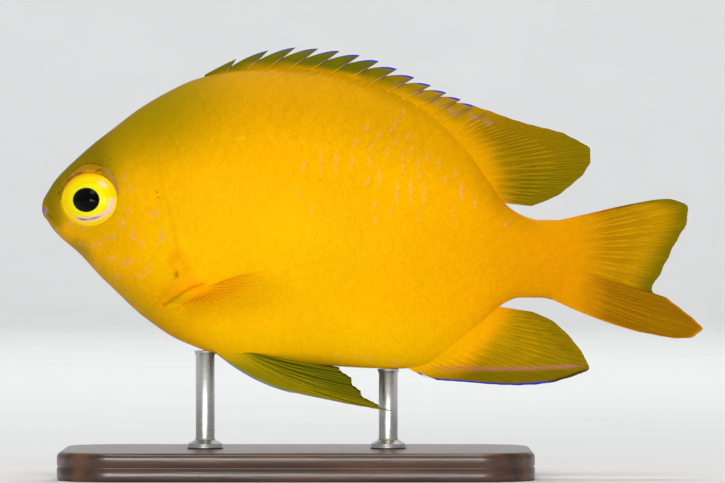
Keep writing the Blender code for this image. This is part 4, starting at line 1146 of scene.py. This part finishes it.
def make_fin(name, rays, look, colour, reach, per_ray=14, rows=64, web=0.13, stiff=0, radius=0.2,
             root=0.55, root_reach=0.35, rays_from=0.08, lift=None, alpha=None):
    """A fin as a fine sheet with two faces: stiff spines, then soft rays that branch to the edge.

    Every colour function gets the place among the rays, the share along them, x, z, how high the
    ridge stands there, and the distance from the fin's edge.
    """
    count = len(rays)
    place = np.arange((count - 1) * per_ray + 1) / per_ray
    limit = reach(place)
    share = np.linspace(0, 1, rows + 1)
    grid = across_rays(ray_points(rays, np.linspace(0, 1, RAY_STEPS + 1)), place)
    u = limit[:, None] * share[None, :]
    low = np.minimum((u * RAY_STEPS).astype(int), RAY_STEPS - 1)
    part = (u * RAY_STEPS - low)[..., None]
    index = np.arange(len(place))[:, None]
    middle = grid[index, low] * (1 - part) + grid[index, low + 1] * part
    if lift is not None:
        middle[..., 1] += lift(place[:, None] / (count - 1), u)
    spacing = np.linalg.norm(np.gradient(middle, axis=0), axis=2) * per_ray
    off = np.abs(place - np.round(place))[:, None] * spacing
    on_spine = (np.round(place) < stiff)[:, None]
    first = np.where(on_spine, 0.0, 0.22 * spacing * step(u, 0.16, 0.5))
    second = np.where(on_spine, 0.0, 0.11 * spacing * step(u, 0.4, 0.8))
    near = np.abs(np.abs(off - first) - second)
    size = radius * (1 - 0.62 * u)
    size = size * np.where(on_spine, 1.15, 1.0 - 0.3 * step(u, 0.3, 0.9))
    ridge = np.exp(-(near / (0.75 * size)) ** 2)
    rising = np.where(on_spine, 1.0, step(u, rays_from, rays_from + 0.3))
    thick = 0.5 * web + size * 0.75 * ridge * rising
    ends = np.linspace(-1, 1, len(place))[:, None] ** 4
    thick = thick + root * (1 - 0.75 * ends) * np.maximum(1 - u / root_reach, 0.0) ** 2
    thick = thick * (1 - 0.6 * step(share[None, :], 0.93, 1.0))
    shell = thick[..., None] * unit(np.cross(np.gradient(middle, axis=1), np.gradient(middle, axis=0)))
    from_edge = (limit[:, None] - u) * np.linalg.norm(grid[:, -1] - grid[:, 0], axis=1)[:, None]
    tint = colour(place[:, None] + 0 * u, u, middle[..., 0], middle[..., 2], ridge, from_edge)
    if alpha is not None:
        tint = np.concatenate([tint, alpha(u, ridge)[..., None]], axis=-1)
    wide, high = len(place), rows + 1
    faces = grid_quads(wide, high)[0]
    rim = np.concatenate([
        np.arange(wide) * high,
        (wide - 1) * high + np.arange(1, high),
        np.arange(wide - 2, -1, -1) * high + high - 1,
        np.arange(high - 2, 0, -1),
    ])
    after = np.roll(rim, -1)
    walls = np.stack([rim, rim + wide * high, after + wide * high, after], axis=1)
    faces = np.concatenate([faces, faces[:, ::-1] + wide * high, walls])
    spread = np.stack([middle + shell, middle - shell])
    made = piece(name + "_membrane", spread, faces, look, np.stack([tint, tint]))
    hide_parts(name)


DORSAL_MARKS = [
    (39.9, 12.1, 1.2, -20, 0.7), (42.0, 11.1, 1.3, -22, 0.7), (43.6, 10.2, 1.2, -24, 0.7),
    (45.8, 9.65, 1.2, -20, 0.8), (47.2, 9.1, 1.0, -20, 0.8), (37.8, 13.1, 1.0, -18, 0.5),
]


def dorsal_colour(place, u, x, z, ridge, from_edge):
    """Olive webs with plum streaks and blue edges on the spines, and an olive rear lobe."""
    soft = step(place, 13.0, 15.5)
    share = place - np.floor(place)
    web = layered(shade(92, 100, 5), [
        (shade(118, 112, 5), 0.5 + 0.5 * waves(x, z, 3.0, 41)),
        (shade(186, 140, 4), 0.9 * step(place, 6.0, 11.5)),
    ])
    rear = layered(shade(188, 136, 4), [
        (shade(158, 124, 4), step(x, 45.5, 50.5)),
        (shade(136, 118, 3), step(x, 52.0, 57.5)),
        (shade(132, 116, 3), step(z, 5.5, 2.5) * step(x, 49.5, 51.5)),
    ])
    near_spine = step(np.minimum(share, 1 - share), 0.26, 0.03)
    away = distance_to(OLIVE_LINE, x, z)[0]
    beyond = np.where((z > olive_line(x)) | (x > OLIVE_LINE[-1][0]), away, -away)
    beyond = beyond - 0.25 * ridge + 0.25 * waves(x, z, 1.4, 42)
    soften = step(x, 40.0, 46.0)
    trunk = body_colour(x, -1.0, np.minimum(z, back_line(x) - 2.0))
    colour = layered(web, [
        (rear, soft),
        (PLUM, 0.55 * near_spine * within(u, 0.35, 0.55, 0.8, 0.98) * (1 - soft)),
        (shade(206, 176, 24), 0.6 * ridge ** 2 * (1 - soft) * step(u, 0.9, 0.5)),
        (shade(206, 160, 8), (0.25 + 0.15 * step(x, 58.0, 46.0)) * ridge * soft),
        (shade(104, 78, 4), 0.4 * hump(ridge, 0.25, 0.22) * soft * step(u, 0.15, 0.5)),
        (trunk, step(beyond, 0.85 + 0.65 * soften, -0.7 - 0.9 * soften)),
    ])
    colour = marked(colour, x, z, False, DORSAL_MARKS, shade(196, 140, 120), 0.22)
    rim = step(from_edge, 0.42, 0.22) * step(share, 0.3, 0.5) * within(place, 1.2, 1.6, 13.0, 13.4)
    edge = mix(shade(78, 80, 150), BLUE, step(place, 3.0, 8.0))
    return mix(colour, edge, 0.95 * rim)


def anal_colour(place, u, x, z, ridge, from_edge):
    """Yellow turning olive, with a pink stripe along the lower margin and a blue edge below it."""
    root_x = np.minimum(x, 50.0)
    height = belly_line(root_x) - z
    root = step(height - 1.6 * step(x, 41.0, 46.0) - 0.4 * ridge, 2.6, -0.8) * step(x, 51.5, 47.5)
    trunk = body_colour(root_x, -1.0, np.maximum(z, belly_line(root_x) + 0.6))
    stripe = -16.9 - 0.14 * hump(x, 47.5, 4.5) + 0.2 * step(x, 52.0, 57.0) + 0.05 * waves(x, z, 1.5, 44)
    stripe = stripe + 0.1 * (ridge - 0.4)
    along = within(x, 40.0, 44.5, 56.0, 58.0) * np.clip(0.75 + 0.4 * waves(x, z, 0.9, 45), 0.2, 1.0)
    lower = step(from_edge, 0.62, 0.4) * step(z, -16.9, -17.4)
    return layered(shade(196, 152, 3), [
        (shade(158, 130, 3), step(u, 0.3, 0.95)),
        (shade(216, 168, 6), 0.4 * ridge),
        (shade(104, 80, 4), 0.6 * hump(ridge, 0.25, 0.2) * step(u, 0.2, 0.5)),
        (shade(122, 104, 5), 0.7 * step(z, -16.6, -17.6)),
        (trunk, root),
        (shade(206, 134, 92), 0.8 * along * hump(z, stripe, 0.19)),
        (shade(190, 104, 128), 0.7 * along * hump(z, stripe - 0.04, 0.08) * step(x, 44.0, 47.0)),
        (shade(44, 40, 30), 0.8 * lower * step(x, 52.5, 54.0)),
        (DEEP_BLUE, 0.95 * lower * within(x, 38.0, 39.0, 52.5, 54.5)),
    ])


def caudal_colour(place, u, x, z, ridge, from_edge):
    """Orange-yellow from the tail root, olive towards the rear of the upper lobe, and a lower lobe darker
    and more orange: partly its own tone, partly painted shade of the fold.
    """
    lower = step(place, 8.2, 9.0)
    faint = 1 - 0.6 * lower
    upper_tone = layered(shade(206, 140, 3), [
        (shade(216, 162, 3), step(u, 0.25, 0.8)),
        (shade(132, 122, 3), step(from_edge, 2.8, 0.2)),
    ])
    # The lower lobe's darker, more orange tone: partly its own colour, partly painted shade where the fold
    # turns it away
    lower_lobe_tone_and_shade = mix(shade(182, 119, 3), shade(164, 113, 3), step(u, 0.25, 0.8))
    between = 0.5 - 0.5 * np.cos(2 * math.pi * place)
    outer = np.maximum(step(place, 1.4, 0.1) * step(u, 0.9, 0.6), step(place, 15.2, 15.9))
    colour = layered(upper_tone, [
        (lower_lobe_tone_and_shade, lower),
        (shade(230, 172, 10), 0.45 * ridge * faint),
        (shade(128, 88, 4), 0.22 * between * step(x, 58.0, 62.0) * faint),
        (shade(112, 72, 4), 0.42 * hump(ridge, 0.3, 0.24) * step(x, 58.0, 61.0)),
        (shade(228, 142, 4), 0.6 * step(from_edge, 0.5, 0.15) * lower),
        (shade(236, 150, 3), 0.75 * outer),
    ])
    trunk = body_colour(np.minimum(x, 56.5), -1.0, np.clip(z, -9.0, -1.6))
    return mix(trunk, colour, step(x + 0.4 * waves(x, z, 1.2, 43), 55.6, 60.2))


def pelvic_colour(place, u, x, z, ridge, from_edge):
    """Olive with a pale blue leading edge and a dark line behind the first rays."""
    slit = hump(place, 1.62 - 0.3 * step(u, 0.6, 1.0), 0.16) * within(u, 0.55, 0.68, 0.82, 0.95)
    lead = step(place, 0.17, 0.09) + 0.8 * step(from_edge, 0.3, 0.15) * step(place, 1.0, 0.8)
    return layered(shade(164, 146, 6), [
        (shade(88, 92, 5), step(place + 1.6 * u, 2.0, 5.0)),
        (shade(198, 176, 20), 0.5 * ridge),
        (shade(66, 62, 4), 0.5 * hump(ridge, 0.15, 0.15) * step(u, 0.2, 0.45)),
        (shade(220, 174, 5), step(u + 0.03 * place, 0.34, 0.12)),
        (shade(40, 46, 8), 0.8 * slit),
        (shade(150, 178, 205), 0.85 * np.minimum(lead, 1.0) * step(u, 0.15, 0.3)),
    ])


def pectoral_colour(place, u, x, z, ridge, from_edge):
    """Clear orange, with thin darker lines beside the rays and along the upper edge, lifted past the other
    paints as painted light against the fin's shade.
    """
    # Painted light: the colour is divided by PAINT_LEVEL, so it comes out brighter than the other paints
    return layered(shade(255, 184, 1), [
        (shade(255, 196, 2), step(u, 0.1, 0.8)),
        (shade(240, 134, 1), 0.75 * hump(ridge, 0.5, 0.25) * step(u, 0.95, 0.5)),
        (shade(226, 128, 2), 0.6 * step(place, 0.4, 0.05) * step(u, 0.8, 0.2)),
    ]) / PAINT_LEVEL


def pectoral_alpha(u, ridge):
    """Nearly clear towards the edge, firm at the root and along the rays."""
    firm = 0.3 + 0.42 * step(ridge, 0.12, 0.42) + 0.35 * step(u, 0.35, 0.05)
    return np.clip(firm * (1 - 0.9 * step(u, 0.5, 1.0)), 0.03, 1)


# Stand

CORNER_POINTS, ROD_SIDES = 24, 48


def make_base():
    """The wooden base with a rounded top edge and a shallow line round it."""
    turn = np.concatenate([
        np.linspace(k * 0.5 * math.pi, (k + 1) * 0.5 * math.pi, CORNER_POINTS) for k in range(4)
    ])
    centre_x = np.repeat([1, -1, -1, 1], CORNER_POINTS) * (BASE_LENGTH / 2 - BASE_CORNER)
    centre_y = np.repeat([1, 1, -1, -1], CORNER_POINTS) * (BASE_WIDTH / 2 - BASE_CORNER)
    bevel = np.linspace(0, 0.5 * math.pi, 9)
    rings = [(0.35, 0.0), (0.1, 0.1), (0.0, 0.35), (0.0, 1.3), (0.1, 1.38), (0.1, 1.5), (0.0, 1.58)]
    rings += [(0.6 - 0.6 * math.cos(b), BASE_THICKNESS - 0.6 + 0.6 * math.sin(b)) for b in bevel]
    rings += [(1.6, BASE_THICKNESS), (5.9, BASE_THICKNESS)]
    points = []
    for inset, height in rings:
        radius = BASE_CORNER - inset
        points.append(np.stack([
            centre_x + radius * np.cos(turn) + BASE_BEHIND_SNOUT,
            centre_y + radius * np.sin(turn),
            np.full(len(turn), height - SNOUT_HEIGHT),
        ], axis=1))
    faces = grid_quads(len(rings), len(turn), closed=True)[0]
    base = piece("stand_base_wood", np.array(points), faces, WALNUT)
    shaped = bmesh.new()
    shaped.from_mesh(base.data)
    shaped.verts.ensure_lookup_table()
    around = np.arange(len(turn))
    for lid in (around[::-1], around + (len(rings) - 1) * len(turn)):
        shaped.faces.new([shaped.verts[int(k)] for k in lid]).smooth = False
    shaped.to_mesh(base.data)
    shaped.free()
    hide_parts("stand_base")


def make_rod(name, node, x):
    """A rod turned with a collar at its foot and a small cup under the belly."""
    floor = BASE_THICKNESS - SNOUT_HEIGHT + 0.02
    top = float(belly_line(x)) + 0.04
    profile = [
        (0.0, floor), (1.9, floor), (1.95, floor + 0.12), (1.85, floor + 0.5), (1.45, floor + 0.72),
        (1.1, floor + 0.9), (ROD_RADIUS, floor + 1.15), (ROD_RADIUS, top - 0.5), (1.12, top - 0.3),
        (1.15, top - 0.05), (0.95, top), (0.0, top),
    ]
    turn = np.linspace(0, 2 * math.pi, ROD_SIDES, endpoint=False)
    points = [[(x + r * math.cos(t), r * math.sin(t), z) for t in turn] for r, z in profile]
    faces = grid_quads(len(profile), ROD_SIDES, closed=True)[0]
    rod = piece(name, np.array(points), faces, STEEL)
    rod.data.set_sharp_from_angle(angle=math.radians(35))
    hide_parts(node)


# Build

make_skin()
PLACES = scale_places()
head_places = [p for p in PLACES if p[0] < HEAD_SCALES_END]
body_places = [p for p in PLACES if p[0] >= HEAD_SCALES_END]
for label, side in (("left", -1), ("right", 1)):
    make_scales("scales_head_" + label, head_places, side)
    make_scales("scales_body_" + label, body_places, side)
    make_eye("eyeball_" + label, side)
    make_fin("pelvic_fin_" + label, pelvic_rays(side), FIN, pelvic_colour,
             lambda p: fringe_reach(p, 0.03), per_ray=18, stiff=1, root=0.3)
    make_fin("pectoral_fin_" + label, pectoral_rays(side), VEIL, pectoral_colour,
             lambda p: fringe_reach(p, 0.02), per_ray=14, rows=56, radius=0.12, root=0.25,
             alpha=pectoral_alpha)
make_fin("dorsal_fin", dorsal_rays(), FIN, dorsal_colour,
         lambda p: np.where(p > 13, fringe_reach(p, 0.009), spine_reach(p, 1, 14)), per_ray=16,
         stiff=14, radius=0.24, root=0.85, root_reach=0.5)
make_fin("anal_fin", anal_rays(), FIN, anal_colour,
         lambda p: fringe_reach(p, 0.009) - np.where(p < 1, 0.3 * np.sin(math.pi * p), 0.0), stiff=2,
         radius=0.22, root=0.85, root_reach=0.5)
make_fin("caudal_fin", caudal_rays(), FIN, caudal_colour, lambda p: fringe_reach(p, 0.009),
         rows=76, radius=0.24, root=1.0, root_reach=0.6, rays_from=0.24, lift=caudal_lift)
make_base()
make_rod("stand_rod_front_steel", "stand_rod_front", BASE_BEHIND_SNOUT - ROD_SPACING / 2)
make_rod("stand_rod_rear_steel", "stand_rod_rear", BASE_BEHIND_SNOUT + ROD_SPACING / 2)

# Stage, lights and camera

# The floor in metres: its front edge, where it starts to curve up, the curve's radius, top and half width
STAGE_FRONT, STAGE_REACH, STAGE_CURVE, STAGE_TOP, STAGE_HALF = -1.2, 1.1, 0.35, 2.2, 2.0


def make_stage():
    """A pale floor that curves up behind the model."""
    bend = np.linspace(0, 0.5 * math.pi, 25)
    line = [(STAGE_FRONT, 0.0)]
    line += [(STAGE_REACH + STAGE_CURVE * math.sin(b), STAGE_CURVE * (1 - math.cos(b))) for b in bend]
    line.append((STAGE_REACH + STAGE_CURVE, STAGE_TOP))
    mesh = bpy.data.meshes.new("studio_floor")
    points = [(x, y, z) for y, z in line for x in (-STAGE_HALF, STAGE_HALF)]
    faces = [(2 * k, 2 * k + 1, 2 * k + 3, 2 * k + 2) for k in range(len(line) - 1)]
    mesh.from_pydata(points, [], faces)
    mesh.shade_smooth()
    look = Look("paper", 0.9, specular=0.2)
    tone = look.ramp(look.noise(30.0), (0.0, shade(228, 228, 227)), (1.0, shade(235, 235, 234)))
    look.drive("Base Color", tone)
    mesh.materials.append(look.made)
    add_object("studio_floor", mesh)


def aimed(obj, place, target):
    obj.location = place
    obj.rotation_euler = (Vector(target) - Vector(place)).to_track_quat("-Z", "Y").to_euler()


def soft_light(name, place, size, power, target=(0.003, 0.0, 0.026)):
    """A round soft light, aimed at the middle of the fish unless a target is given."""
    lamp = bpy.data.lights.new(name, "AREA")
    lamp.shape = "DISK"
    lamp.size = size
    lamp.energy = power
    aimed(add_object(name, lamp), place, target)


VIEW_MIDDLE = (0.00697, 0.0, 0.02495)
VIEW_DISTANCE = 0.6
VIEW_WIDTH = 0.07685
SENSOR = 36.0


def make_camera():
    """The photo's view: square on to the fish's left side, with its framing."""
    seen = bpy.data.cameras.new("camera")
    seen.sensor_width = SENSOR
    seen.lens = SENSOR * VIEW_DISTANCE / VIEW_WIDTH
    seen.clip_start = 0.01
    obj = add_object("camera", seen)
    middle_x, _, middle_z = VIEW_MIDDLE
    aimed(obj, (middle_x, -VIEW_DISTANCE, middle_z), VIEW_MIDDLE)
    bpy.context.scene.camera = obj


make_stage()
soft_light("key", (-0.11, -0.6, 0.09), 0.2, 1.69)
soft_light("fill", (0.1, -0.62, 0.015), 0.12, 1.13)
soft_light("rim", (0.1, 0.3, 0.42), 0.25, 0.12)
soft_light("top", (0.0, -0.15, 0.62), 0.3, 0.95)
soft_light("backdrop", (0.0, 0.35, 0.95), 0.4, 7.5, (0.0, 1.3, 0.15))
world = bpy.data.worlds.new("studio")
world.use_nodes = True
world.node_tree.nodes["Background"].inputs["Color"].default_value = (0.93, 0.95, 1.0, 1.0)
world.node_tree.nodes["Background"].inputs["Strength"].default_value = 0.36
bpy.context.scene.world = world
bpy.context.scene.view_settings.view_transform = "Standard"
make_camera()
